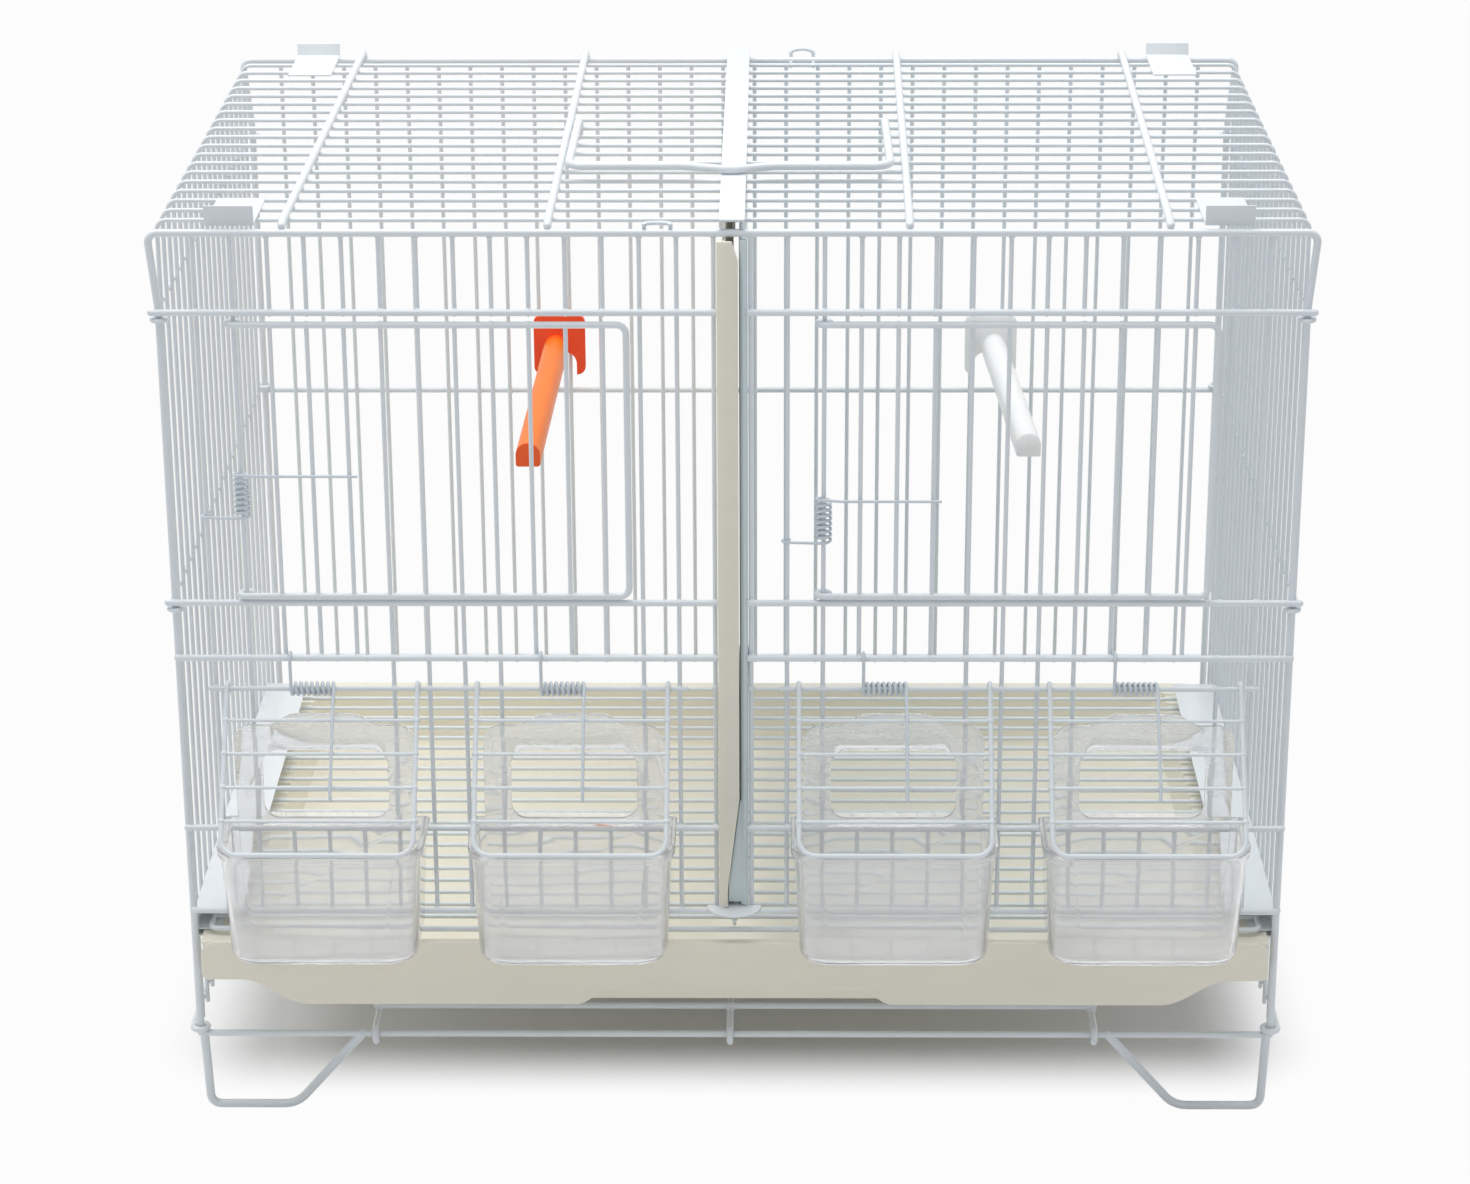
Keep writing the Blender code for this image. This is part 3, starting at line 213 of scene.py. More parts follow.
# %% Build the weld tree
BEAD_SIDES = 9


def weld_tree():
    """A bead on every point, each a little larger or smaller than its neighbours."""
    inputs = [("Size", "Vector"), ("Spread", "Float"), ("Seed", "Int"), ("Finish", "Material")]
    graph, given = start_tree("weld_beads", inputs)
    ball = {"Segments": BEAD_SIDES, "Rings": BALL_RINGS, "Radius": 1.0}
    ball = graph.add("GeometryNodeMeshUVSphere", None, ball)
    sizes = {2: 1 - given["Spread"], 3: 1 + given["Spread"], "Seed": given["Seed"]}
    grow = graph.add("FunctionNodeRandomValue", {"data_type": "FLOAT"}, sizes, out=1)
    size = {0: given["Size"], "Scale": grow}
    size = graph.add("ShaderNodeVectorMath", {"operation": "SCALE"}, size)
    spots = {"Points": given["Geometry"], "Instance": ball, "Scale": size}
    beads = graph.add("GeometryNodeInstanceOnPoints", None, spots)
    end_tree(graph, beads, given["Finish"])
    return graph.tree


WELD_TREE = weld_tree()
print(WELD_TREE.name, len(WELD_TREE.nodes), "nodes")

# %% [markdown]
# ## From a tree to a plain mesh
# A modifier could stay live on its object, but joins want plain meshes.
# A modifier's input is set by its identifier before the object is first looked at. The evaluated
# object is then copied into a plain mesh and the holder thrown away. Paths are lists of points.

# %% Define how meshes are grown and kept
def evaluated(obj):
    """The plain mesh that an object's modifiers make."""
    graph = bpy.context.evaluated_depsgraph_get()
    return bpy.data.meshes.new_from_object(obj.evaluated_get(graph))


def grow(tree, points, edges, **sizes):
    """The mesh that a geometry tree makes from points and the edges between them."""
    seed = bpy.data.meshes.new("seed")
    seed.from_pydata([tuple(p) for p in points], edges, [])
    holder = placed("holder", seed)
    modifier = holder.modifiers.new("Grow", "NODES")
    modifier.node_group = tree
    for item in tree.interface.items_tree:
        if item.in_out == "INPUT" and item.name in sizes:
            modifier[item.identifier] = sizes[item.name]
    mesh = evaluated(holder)
    bpy.data.objects.remove(holder)
    return mesh


def wires(paths, radius, count=1, step=(0.0, 0.0, 0.0), sides=12, finish=None):
    """Round wires along paths of points, repeated count times at an even step."""
    points = []
    edges = []
    for path in paths:
        first = len(points)
        points += path
        edges += [(k, k + 1) for k in range(first, len(points) - 1)]
    sizes = {"Radius": radius, "Sides": sides, "Count": count, "Step": tuple(step)}
    return grow(WIRE_TREE, points, edges, Finish=finish or COAT, **sizes)


WELD_SPREAD = 0.12


def welds(points, size, seed=1):
    """A bead of coated weld metal on every point; size gives its three half-widths."""
    sizes = {"Size": tuple(size), "Spread": WELD_SPREAD, "Seed": seed}
    return grow(WELD_TREE, points, [], Finish=COAT, **sizes)


def arc(centre, radius, start, end, first, second, step=10):
    """Points on an arc about centre, in degrees from the axis `first` towards `second`."""
    count = max(2, math.ceil(abs(end - start) / step))
    angles = [math.radians(start + (end - start) * k / count) for k in range(count + 1)]
    turns = [math.cos(a) * first + math.sin(a) * second for a in angles]
    return [Vector(centre) + radius * turn for turn in turns]


def arch(left, right, radius, up):
    """Two round corners over a span: the first turns from up to across, the second back."""
    return arc(left, radius, 0, 90, -X, up) + arc(right, radius, 90, 0, X, up)


def joined(name, meshes, finish):
    """One object at the origin that holds several meshes."""
    bm = bmesh.new()
    for mesh in meshes:
        bm.from_mesh(mesh)
    data = bpy.data.meshes.new(name)
    bm.to_mesh(data)
    bm.free()
    data.materials.append(finish)
    data.polygons.foreach_set("material_index", [0] * len(data.polygons))
    return placed(name, data)


def keep(obj, body, slot, *nodes):
    """The piece rides on a body and stands for the solids it replaces."""
    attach(obj, body)
    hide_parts(*nodes)
    print(f"{obj.name}: {len(obj.data.polygons)} faces on {body}")


def keep_wires(name, parts, body, *nodes):
    """One piece of coated wire, from the meshes of its wires and welds."""
    keep(joined(name, parts, COAT), body, "coated_wire", *nodes)


# %% [markdown]
# ## White coated wire
# The whole grid is steel wire in a thick white powder coat. Powder flows as it bakes, which
# leaves a soft orange peel a millimetre across, and it is a little thicker and duller here and
# there. A picture would need every wire unwrapped. Noise in object space gives both without,
# so no seam shows where wires meet.

# %% Make the coatings
def start_finish(name):
    """An empty material, the graph that draws it and the place on the object."""
    made = bpy.data.materials.new(name)
    made.use_nodes = True
    made.node_tree.nodes.clear()
    graph = Graph(made.node_tree)
    place = graph.add("ShaderNodeTexCoord", out="Object")
    return made, graph, place


def end_finish(made, graph, sockets, view):
    """Joins the Principled shader to the output and sets the colour of the solid view."""
    shader = graph.add("ShaderNodeBsdfPrincipled", None, sockets)
    graph.add("ShaderNodeOutputMaterial", None, {"Surface": shader})
    made.diffuse_color = (*view, 1)
    return made


def coating(name, colour, dull, peel):
    """A powder coat: two close tones, an uneven gloss and orange peel of that size."""
    made, graph, place = start_finish(name)
    cloud = graph.noise(place, scale=38.0, detail=3.0)
    patch = graph.noise(place, scale=9.0, detail=1.0)
    deep = tuple(c * 0.93 for c in colour)
    tone = graph.mix(cloud * 0.7 + patch * 0.3, (*deep, 1), (*colour, 1))
    rough = cloud * 0.16 + (dull - 0.08)
    skin = graph.noise(place, scale=1 / peel)
    height = {"Height": skin, "Strength": 0.25, "Distance": peel / 18}
    bump = graph.add("ShaderNodeBump", None, height)
    sockets = {"Base Color": tone, "Roughness": rough, "Normal": bump}
    sockets.update({"Coat Weight": 0.25, "Coat Roughness": 0.18, "IOR": 1.5})
    return end_finish(made, graph, sockets, colour)


COAT = coating("white_coat", (0.80, 0.845, 0.875), dull=0.34, peel=0.0011)
SHEET_COAT = coating("white_sheet_coat", (0.82, 0.86, 0.88), dull=0.38, peel=0.0016)
SPRING_COAT = coating("white_spring_coat", (0.68, 0.74, 0.79), dull=0.30, peel=0.0008)
print("coatings:", COAT.name, SHEET_COAT.name, SPRING_COAT.name)

# %% [markdown]
# ## Moulded plastics
# The tray and dividers are opaque and matt with a fine spark-eroded grain, the perches glossier.
# Long soft streaks along one axis are flow marks from the mould. One function with a few numbers
# makes all four, so they look like one maker's plastics. The orange perch is deeper at its root
# and its cut tip, and light spreads furthest inside the milky one.

# %% Make the moulded plastics
ROOT_Y = (0.158, 0.167)
TIP_Y = (0.0042, 0.0036)


def moulded(name, colour, dull, grain, flow, glow=0.0, root=None, spread=0.004):
    """A moulded plastic: flow marks stretched by flow, grain of that size, light within."""
    made, graph, place = start_finish(name)
    stretch = graph.add("ShaderNodeMapping", None, {"Vector": place, "Scale": flow})
    streak = graph.noise(stretch, scale=22.0, detail=3.0, rough=0.55)
    cloud = graph.noise(place, scale=12.0)
    deep = tuple(c * 0.90 for c in colour)
    tone = graph.mix(streak * 0.6 + cloud * 0.4, (*deep, 1), (*colour, 1))
    if root:
        along = graph.add("ShaderNodeSeparateXYZ", None, {"Vector": place}, out=1)
        ends = graph.rise(along, *ROOT_Y) + graph.rise(along, *TIP_Y) * 0.7
        tone = graph.mix(ends, tone, (*root, 1))
    speck = graph.noise(place, scale=1 / grain, detail=1.0)
    rough = streak * 0.12 + speck * 0.06 + (dull - 0.09)
    height = {"Height": speck + streak * 0.5, "Strength": 0.22, "Distance": grain / 14}
    bump = graph.add("ShaderNodeBump", None, height)
    sockets = {"Base Color": tone, "Roughness": rough, "Normal": bump, "IOR": 1.49}
    if glow:
        sockets.update({"Subsurface Weight": glow, "Subsurface Scale": spread})
        sockets["Subsurface Radius"] = (1.0, 0.9, 0.8)
    return end_finish(made, graph, sockets, colour)


ALONG_X, ALONG_Y = (1.0, 6.0, 6.0), (6.0, 1.0, 6.0)
PERCH_DULL, PERCH_GRAIN = 0.36, 0.0009
CREAM = moulded("cream_plastic", (0.91, 0.87, 0.74), 0.46, 0.0007, ALONG_X, glow=0.15)
PALE = moulded("pale_plastic", (0.70, 0.79, 0.81), 0.42, 0.0007, (6.0, 1.0, 3.0))
orange = {"glow": 0.05, "root": (1.0, 0.08, 0.008)}
ORANGE = moulded("orange_plastic", (1.0, 0.22, 0.016), PERCH_DULL, PERCH_GRAIN, ALONG_Y, **orange)
milky = {"glow": 0.85, "spread": 0.010}
MILKY = moulded("milky_plastic", (0.97, 0.97, 0.95), PERCH_DULL, PERCH_GRAIN, ALONG_Y, **milky)
print("plastics:", CREAM.name, PALE.name, ORANGE.name, MILKY.name)

# %% [markdown]
# ## Clear plastic
# The feeders are clear polystyrene, hardly tinted, with slow waves in the wall that bend what is
# behind. A milky haze is mixed in, in flat streaks and more of it in the tall back, where such
# mouldings craze and scratch first. Roughness alone would blur all that is seen through, so the
# haze is a second shader of white that lets half its light through.

# %% Make the clear plastic
BACK_HAZE_Z = (0.136, 0.156)


def clear_plastic():
    """Clear walls with a milky haze mixed in."""
    made, graph, place = start_finish("clear_plastic")
    wave = graph.noise(place, scale=60.0, rough=0.4)
    fine = graph.noise(place, scale=420.0)
    height = {"Height": wave + fine * 0.03, "Strength": 0.16, "Distance": 0.0012}
    bump = graph.add("ShaderNodeBump", None, height)
    sockets = {"Base Color": (0.985, 0.99, 0.995, 1), "Roughness": fine * 0.06 + 0.03}
    sockets.update({"IOR": 1.38, "Transmission Weight": 0.90, "Coat Weight": 0.6, "Normal": bump})
    clear = graph.add("ShaderNodeBsdfPrincipled", None, sockets)
    white = {"Color": (0.95, 0.96, 0.97, 1), "Normal": bump}
    front = graph.add("ShaderNodeBsdfDiffuse", None, white)
    through = graph.add("ShaderNodeBsdfTranslucent", None, white)
    milk = graph.blend(0.5, front, through)
    height = graph.add("ShaderNodeSeparateXYZ", None, {"Vector": place}, out=2)
    flat = graph.add("ShaderNodeMapping", None, {"Vector": place, "Scale": (12.0, 12.0, 70.0)})
    streak = graph.noise(flat, scale=3.0, detail=4.0, rough=0.6) ** 2
    haze = graph.rise(height, *BACK_HAZE_Z) * 0.08 + streak * 0.26 + 0.02
    both = graph.blend(haze, clear, milk)
    graph.add("ShaderNodeOutputMaterial", None, {"Surface": both})
    made.diffuse_color = (0.9, 0.92, 0.93, 1)
    return made


CLEAR = clear_plastic()
print("clear:", CLEAR.name)

# %% [markdown]
# ## Sizes of the grid
# These are the cage's own sizes, in metres: an even pitch across and deep, the heights of the
# rails, and the radii of the wires. The front panel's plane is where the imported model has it.
# Most other pieces are placed from these, so they can't drift off the wires they hang on.

# %% Set the grid's sizes
PITCH = 0.015
HALF_COLUMNS, DEPTH_PITCHES = 15, 20
FRONT = -0.12855
BACK = FRONT + PITCH * DEPTH_PITCHES
TOP = 0.3970
ROOF_Z = 0.39820
SIDE_X = 0.23370
HALF_POST, POST_END = 0.2325, 0.0383
POST_R, RAIL_R, BAR_R, ROD_R, BEAM_R = 0.0016, 0.0014, 0.00095, 0.00105, 0.0017
DOOR_TOP_RAIL, DOOR_LOW_RAIL = 0.3642, 0.2383
FEED_TOP, FEED_LOW, LOW_RAIL = 0.2135, 0.1355, 0.0966
RAIL_Y = 0.0021
ROD_OUT = 0.00175
ROD_Y, ROD_Z = FRONT - ROD_OUT, 0.1995
SLACK = 0.0003
DOOR_HINGES = (-0.2025, 0.0375)
DOOR_WIDTH = 0.1595
FEEDERS = (-0.1725, -0.0675, 0.0675, 0.1725)
COLUMNS = [side * PITCH * (k + 0.5) for side in (-1, 1) for k in range(HALF_COLUMNS)]
UPRIGHTS = COLUMNS + [-HALF_POST, HALF_POST]
print("front at", FRONT, "back at", round(BACK, 5))

# %% [markdown]
# ## The front panel
# One thick wire bends over the top and down both sides as posts. Upright bars end on its rails,
# which are laid across their fronts and stop either side of the slot for the dividers. Bars that
# share a stretch stand side by side, so each run of them is one repeated wire.

# %% Draw the end panels' hoop
HOOP_BEND, HOOP_FLARE = 0.004, 0.0027
FLARE_Z = (0.3560, 0.3640)


def hoop(y):
    """Post, top and post in one wire; the posts flare out near the top."""
    heights = (POST_END + POST_R, *FLARE_Z)
    high = TOP - HOOP_BEND
    reach = HALF_POST - HOOP_BEND + HOOP_FLARE
    over = arch((-reach, y, high), (reach, y, high), HOOP_BEND, Z)
    left, right = ([(x, y, z) for z in heights] for x in (-HALF_POST, HALF_POST))
    return left + over + right[::-1]


def stretches(x):
    """The low and high ends of the front bars on one column."""
    in_door = any(h + PITCH / 2 < x < h + DOOR_WIDTH for h in DOOR_HINGES)
    at_feeder = any(abs(x - c) < PITCH * 1.5 for c in FEEDERS)
    foot = FEED_TOP if at_feeder else LOW_RAIL
    found = [(foot, DOOR_LOW_RAIL), (DOOR_TOP_RAIL, TOP)] if in_door else [(foot, TOP)]
    return found + [(LOW_RAIL, FEED_LOW)] if at_feeder else found


def runs_of_bars():
    """Runs of neighbouring columns that have the same stretch: first x, count, low and high."""
    found = []
    for span in sorted({span for x in COLUMNS for span in stretches(x)}):
        for x in sorted(x for x in COLUMNS if span in stretches(x)):
            last = found[-1] if found else None
            if last and last[2] == span and abs(last[0] + last[1] * PITCH - x) < BAR_R:
                last[1] += 1
            else:
                found.append([x, 1, span])
    return found


# %% Make the front panel
RAIL_BEAD, HOOP_BEAD = (0.0017, 0.0014, 0.0016), (0.0013, 0.0013, 0.0011)
ROD_ENDS = (0.01975, 0.21965)
ROD_WELD_Y = FRONT - 0.0009
REACHES = {DOOR_TOP_RAIL: 0.003, DOOR_LOW_RAIL: 0.003, FEED_TOP: SLACK, FEED_LOW: SLACK}
REACHES[LOW_RAIL] = -0.0008

parts = [wires([hoop(FRONT)], POST_R, sides=16)]
for x, count, (low, high) in runs_of_bars():
    bar = [(x, FRONT, low - RAIL_R), (x, FRONT, high)]
    parts.append(wires([bar], BAR_R, count, (PITCH, 0, 0)))
rails = []
spots = []
for z, beyond in REACHES.items():
    ends = (PITCH / 2 - BAR_R, HALF_POST + beyond)
    rails += [[(side * x, FRONT - RAIL_Y, z) for x in ends] for side in (-1, 1)]
    spots += [(x, FRONT - RAIL_Y / 2, z) for x in UPRIGHTS]
parts.append(wires(rails, RAIL_R, sides=14))
rods = [[(side * x, ROD_Y, ROD_Z) for x in ROD_ENDS] for side in (-1, 1)]
parts.append(wires(rods, ROD_R))
crossed = [x for x in COLUMNS if (LOW_RAIL, FEED_LOW) not in stretches(x)]
spots += [(x, ROD_WELD_Y, ROD_Z) for x in crossed]
parts.append(welds(spots, RAIL_BEAD))
parts.append(welds([(x, FRONT, TOP - POST_R) for x in COLUMNS], HOOP_BEAD, 2))
keep_wires("front_grille", parts, "cage", "front_panel")

# %% [markdown]
# ## The back panel
# The back is the same hoop with plain full-height bars and two rails on its outside. It stops at
# a rail above the tray, which leaves the foot of the cage open at the back. Each half's bars are
# one wire, repeated outwards from the slot.

# %% Make the back panel
BACK_RAILS = (0.2323, 0.0915)
RAIL_REACH = 0.003

parts = [wires([hoop(BACK)], POST_R, sides=16)]
for side in (-1, 1):
    x = side * PITCH / 2
    bar = [(x, BACK, BACK_RAILS[-1] - RAIL_R), (x, BACK, TOP)]
    parts.append(wires([bar], BAR_R, HALF_COLUMNS, (side * PITCH, 0, 0)))
ends = (-HALF_POST - RAIL_REACH, HALF_POST + RAIL_REACH)
rails = [[(x, BACK + RAIL_Y, z) for x in ends] for z in BACK_RAILS]
spots = [(x, BACK + RAIL_Y / 2, z) for z in BACK_RAILS for x in UPRIGHTS]
parts += [wires(rails, RAIL_R, sides=14), welds(spots, RAIL_BEAD, 3)]
parts.append(welds([(x, BACK, TOP - POST_R) for x in COLUMNS], HOOP_BEAD, 4))
keep_wires("back_grille", parts, "cage", "back_panel")

# %% [markdown]
# ## Roof and sides
# Nineteen wires run up one side, over the roof and down the other, so one bent wire is repeated
# from front to back. Four stout beams lie over them, a little askew, and hook round the back
# panel. Each side's three wires end in rings closed round the corner posts.

# %% Make the roof and the sides
ROOF_BEND = 0.004
SIDE_FOOT = 0.0370
y = FRONT + PITCH
turn_x, turn_z = SIDE_X - ROOF_BEND, ROOF_Z - ROOF_BEND
over = arch((-turn_x, y, turn_z), (turn_x, y, turn_z), ROOF_BEND, Z)
over = [(-SIDE_X, y, SIDE_FOOT), *over, (SIDE_X, y, SIDE_FOOT)]
parts = [wires([over], BAR_R, DEPTH_PITCHES - 1, (0, PITCH, 0))]

BEAMS = ((-0.1812, -0.1782), (-0.0742, -0.0725), (0.0716, 0.0745), (0.1762, 0.1812))
BEAM_HOOK = 0.0036
BEAM_NOSE = ((0.0014, 0.0026), (0.0060, BEAM_HOOK))
BEAM_WELD_Z = ROOF_Z + 0.0011
beams = []
spots = []
for near, far in BEAMS:
    path = [(near, FRONT + back, TOP + lift) for back, lift in BEAM_NOSE]
    beams.append(path + arc((far, BACK, TOP), BEAM_HOOK, 90, -35, Y, Z))
    for k in range(1, DEPTH_PITCHES):
        x = near + (far - near) * k / DEPTH_PITCHES
        spots.append((x, FRONT + k * PITCH, BEAM_WELD_Z))
parts += [wires(beams, BEAM_R, sides=14), welds(spots, (0.0017, 0.0017, 0.0014), 5)]

# %% Ring the side rails and keep the roof with the sides
RINGED = ((0.3608, 0.0010, 0.0029), (0.2351, 0.0010, 0.0029), (0.0396, 0.0013, 0.0032))
SIDE_WELD_X = SIDE_X + 0.0008
for side in (-1, 1):
    for z, radius, ring in RINGED:
        path = arc((side * HALF_POST, FRONT, z), ring, -330, 0, side * X, Y)
        path += arc((side * HALF_POST, BACK, z), ring, 0, 330, side * X, Y)
        spots = [(side * SIDE_WELD_X, FRONT + k * PITCH, z) for k in range(1, DEPTH_PITCHES)]
        parts += [wires([path], radius), welds(spots, (0.0012, 0.0015, 0.0014), 6)]
keep_wires("roof_and_sides", parts, "cage", "roof_panel", "side_panel_left", "side_panel_right")

# %% [markdown]
# ## The stand
# Each end stands on one bent wire: a straight rail, and at each end a foot that runs down, along
# the floor and back up as a brace. Its bends are drawn as soft curves through four corners, as a
# bending jig leaves them. Three wires tie the two ends together.

# %% Make the stand
BASE_Z = 0.0365
BASE_R, FOOT_R = 0.0015, 0.0019
FOOT_CORNERS = ((0.2310, BASE_Z), (0.2296, FOOT_R), (0.1920, FOOT_R), (0.1620, BASE_Z))
FOOT_BENDS = (0.005, 0.006)
BEND_STEPS = 8
for y, word in ((FRONT, "front"), (BACK, "back")):
    rail = [(-HALF_POST, y, BASE_Z), (HALF_POST, y, BASE_Z)]
    feet = []
    spots = []
    for side in (-1, 1):
        ends = [Vector((side * x, y, z)) for x, z in FOOT_CORNERS]
        path = [ends[0]]
        for k, bend in enumerate(FOOT_BENDS, 1):
            near = ends[k] + bend * (ends[k - 1] - ends[k]).normalized()
            far = ends[k] + bend * (ends[k + 1] - ends[k]).normalized()
            for j in range(BEND_STEPS + 1):
                t = j / BEND_STEPS
                path.append(near * (1 - t) ** 2 + ends[k] * 2 * t * (1 - t) + far * t**2)
        feet.append(path + ends[-1:])
        spots += [ends[0], ends[-1]]
    parts = [wires([rail], BASE_R, sides=14), wires(feet, FOOT_R, sides=14)]
    parts.append(welds(spots, (0.0024, 0.0021, 0.0020), 7))
    keep_wires(f"stand_{word}", parts, "cage", f"base_{word}")

# %% Tie the two ends together
SUPPORT_X = (-0.156, -0.002, 0.156)
SUPPORT_HOOK = 0.0033
CROSS_HALF = 0.157
WELD_SINK = 0.00025
ties = []
for x in SUPPORT_X:
    path = arc((x, FRONT, BASE_Z), SUPPORT_HOOK, 250, 90, Y, Z)
    ties.append(path + arc((x, BACK, BASE_Z), SUPPORT_HOOK, 90, -70, Y, Z))
cross_z = BASE_Z + SUPPORT_HOOK + 2 * BASE_R - WELD_SINK
cross = [(side * CROSS_HALF, FRONT + PITCH, cross_z) for side in (-1, 1)]
parts = [wires(ties, BASE_R, sides=14), wires([cross], BASE_R, sides=14)]
spots = [(x, FRONT + PITCH, cross_z - BASE_R) for x in SUPPORT_X]
parts.append(welds(spots, (0.0021, 0.0021, 0.0015), 8))
keep_wires("support_wires", parts, "cage", "base_support")

# %% [markdown]
# ## The doors
# A door is one wire whose two ends are bent into eyes round a bar of the panel, with plain bars
# behind it. It rides on its own body, so it swings about that bar. Each eye wraps two thirds of
# the way round, as bent wire does, and the door is one path of four arcs.

# %% Make the doors
DOOR_R = 0.0014
DOOR_EYE = 0.00265
DOOR_TOP, DOOR_BOTTOM = 0.3592, 0.2415
DOOR_BEND = 0.004
DOOR_BARS = 10
for hinge, word in zip(DOOR_HINGES, ("left", "right")):
    face = FRONT - DOOR_EYE
    right = hinge + DOOR_WIDTH - DOOR_BEND
    path = arc((hinge, FRONT, DOOR_TOP), DOOR_EYE, -330, -90, X, Y)
    path += arc((right, face, DOOR_TOP - DOOR_BEND), DOOR_BEND, 90, 0, X, Z)
    path += arc((right, face, DOOR_BOTTOM + DOOR_BEND), DOOR_BEND, 0, -90, X, Z)
    path += arc((hinge, FRONT, DOOR_BOTTOM), DOOR_EYE, -90, -330, X, Y)
    first = hinge + PITCH
    heights = (DOOR_BOTTOM, DOOR_TOP)
    bar = [(first, face, z) for z in heights]
    parts = [wires([path], DOOR_R, sides=14), wires([bar], BAR_R, DOOR_BARS, (PITCH, 0, 0))]
    spots = [(first + k * PITCH, face, z) for k in range(DOOR_BARS) for z in heights]
    parts.append(welds(spots, (0.0017, 0.0015, 0.0016), 9))
    keep_wires(f"door_wires_{word}", parts, f"door_{word}", f"door_{word}")

# %% [markdown]
# ## Wound springs
# A spring is one unbroken wire: a hook behind a bar, close turns round the hinge and a straight
# leg over what it presses. It stays one fixed mesh, on no moving body.

# %% Define a coil and how a spring is kept
COIL_STEPS = 18


def coil(start, radius, angle, turns, step, first, second, along):
    """A helix from an angle, in turns, that climbs by `step` a turn."""
    count = round(turns * COIL_STEPS)
    path = []
    for k in range(count + 1):
        turned = 2 * math.pi * (angle + turns * k / count)
        offset = radius * (math.cos(turned) * first + math.sin(turned) * second)
        path.append(start + offset + turns * step * k / count * along)
    return path


def keep_spring(kind, which, path, radius, sides):
    """A spring of wire, named by its kind and which one, in place of that spring's solid."""
    wire = wires([path], radius, sides=sides, finish=SPRING_COAT)
    spring = joined(f"{kind}_spring_wire_{which}", [wire], SPRING_COAT)
    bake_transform(spring)
    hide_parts(f"{kind}_spring_{which}")
    print(f"{spring.name}: {len(spring.data.polygons)} faces")


# %% Make the door springs
DOOR_COIL_R, DOOR_SPRING_R = 0.0030, 0.00062
DOOR_SPRING_LENGTH = 0.0189
DOOR_SPRING_TURNS = 8
DOOR_LEG = 0.048
for hinge, foot, word in zip(DOOR_HINGES, (0.2759, 0.2651), ("left", "right")):
    start = Vector((hinge, FRONT, foot))
    step = DOOR_SPRING_LENGTH / DOOR_SPRING_TURNS
    turns = coil(start, DOOR_COIL_R, -0.25, DOOR_SPRING_TURNS, step, X, Y, Z)
    clear = BAR_R + SLACK + DOOR_SPRING_R
    hooked = arc((hinge - PITCH, FRONT, foot), clear, 60, 270, X, Y)
    leg_y = FRONT - DOOR_EYE - clear
    top = turns[-1].z
    leg = [(hinge + PITCH / 2, leg_y, top), (hinge + DOOR_LEG, leg_y, top)]
    keep_spring("door", word, hooked + turns + leg, DOOR_SPRING_R, 10)

# %% [markdown]
# ## The feeders' flaps
# A flap is a U of wire with four cross bars, hung by two eyes on the panel's rod, and it leans on
# its feeder's rim. The lean is worked out from the rod and the rim, not guessed, so that it comes
# to rest on the rim alone. All four are alike, so they are made by one loop.

# %% Work out how a flap leans
FLAP_HALF = 0.040
FLAP_R, FLAP_BAR_R = 0.00105, 0.00075
FLAP_EYE = ROD_R + SLACK + FLAP_R
FLAP_BEND = 0.007
FLAP_BARS, FLAP_BAR_PAST = 4, 0.0006
CUP_RIM_Z = 0.1423
CUP_OUT, RIM_ROUND = 0.0482, 0.0007
drop = ROD_Z - (CUP_RIM_Z + SLACK + FLAP_R)
throw = CUP_OUT - RIM_ROUND - ROD_OUT
flap_length = math.sqrt(drop**2 + throw**2 - FLAP_EYE**2)
flap_angle = math.atan2(throw, drop) - math.atan2(FLAP_EYE, flap_length)
DOWN = Vector((0, -math.sin(flap_angle), -math.cos(flap_angle)))
OFF = Vector((0, -math.cos(flap_angle), math.sin(flap_angle)))


def on_flap(centre, x, along, off):
    """A point on a flap: across, down along it and off its plane."""
    return Vector((centre + x, ROD_Y, ROD_Z)) + along * DOWN + off * OFF


print("flap leans", round(math.degrees(flap_angle), 1), "degrees")

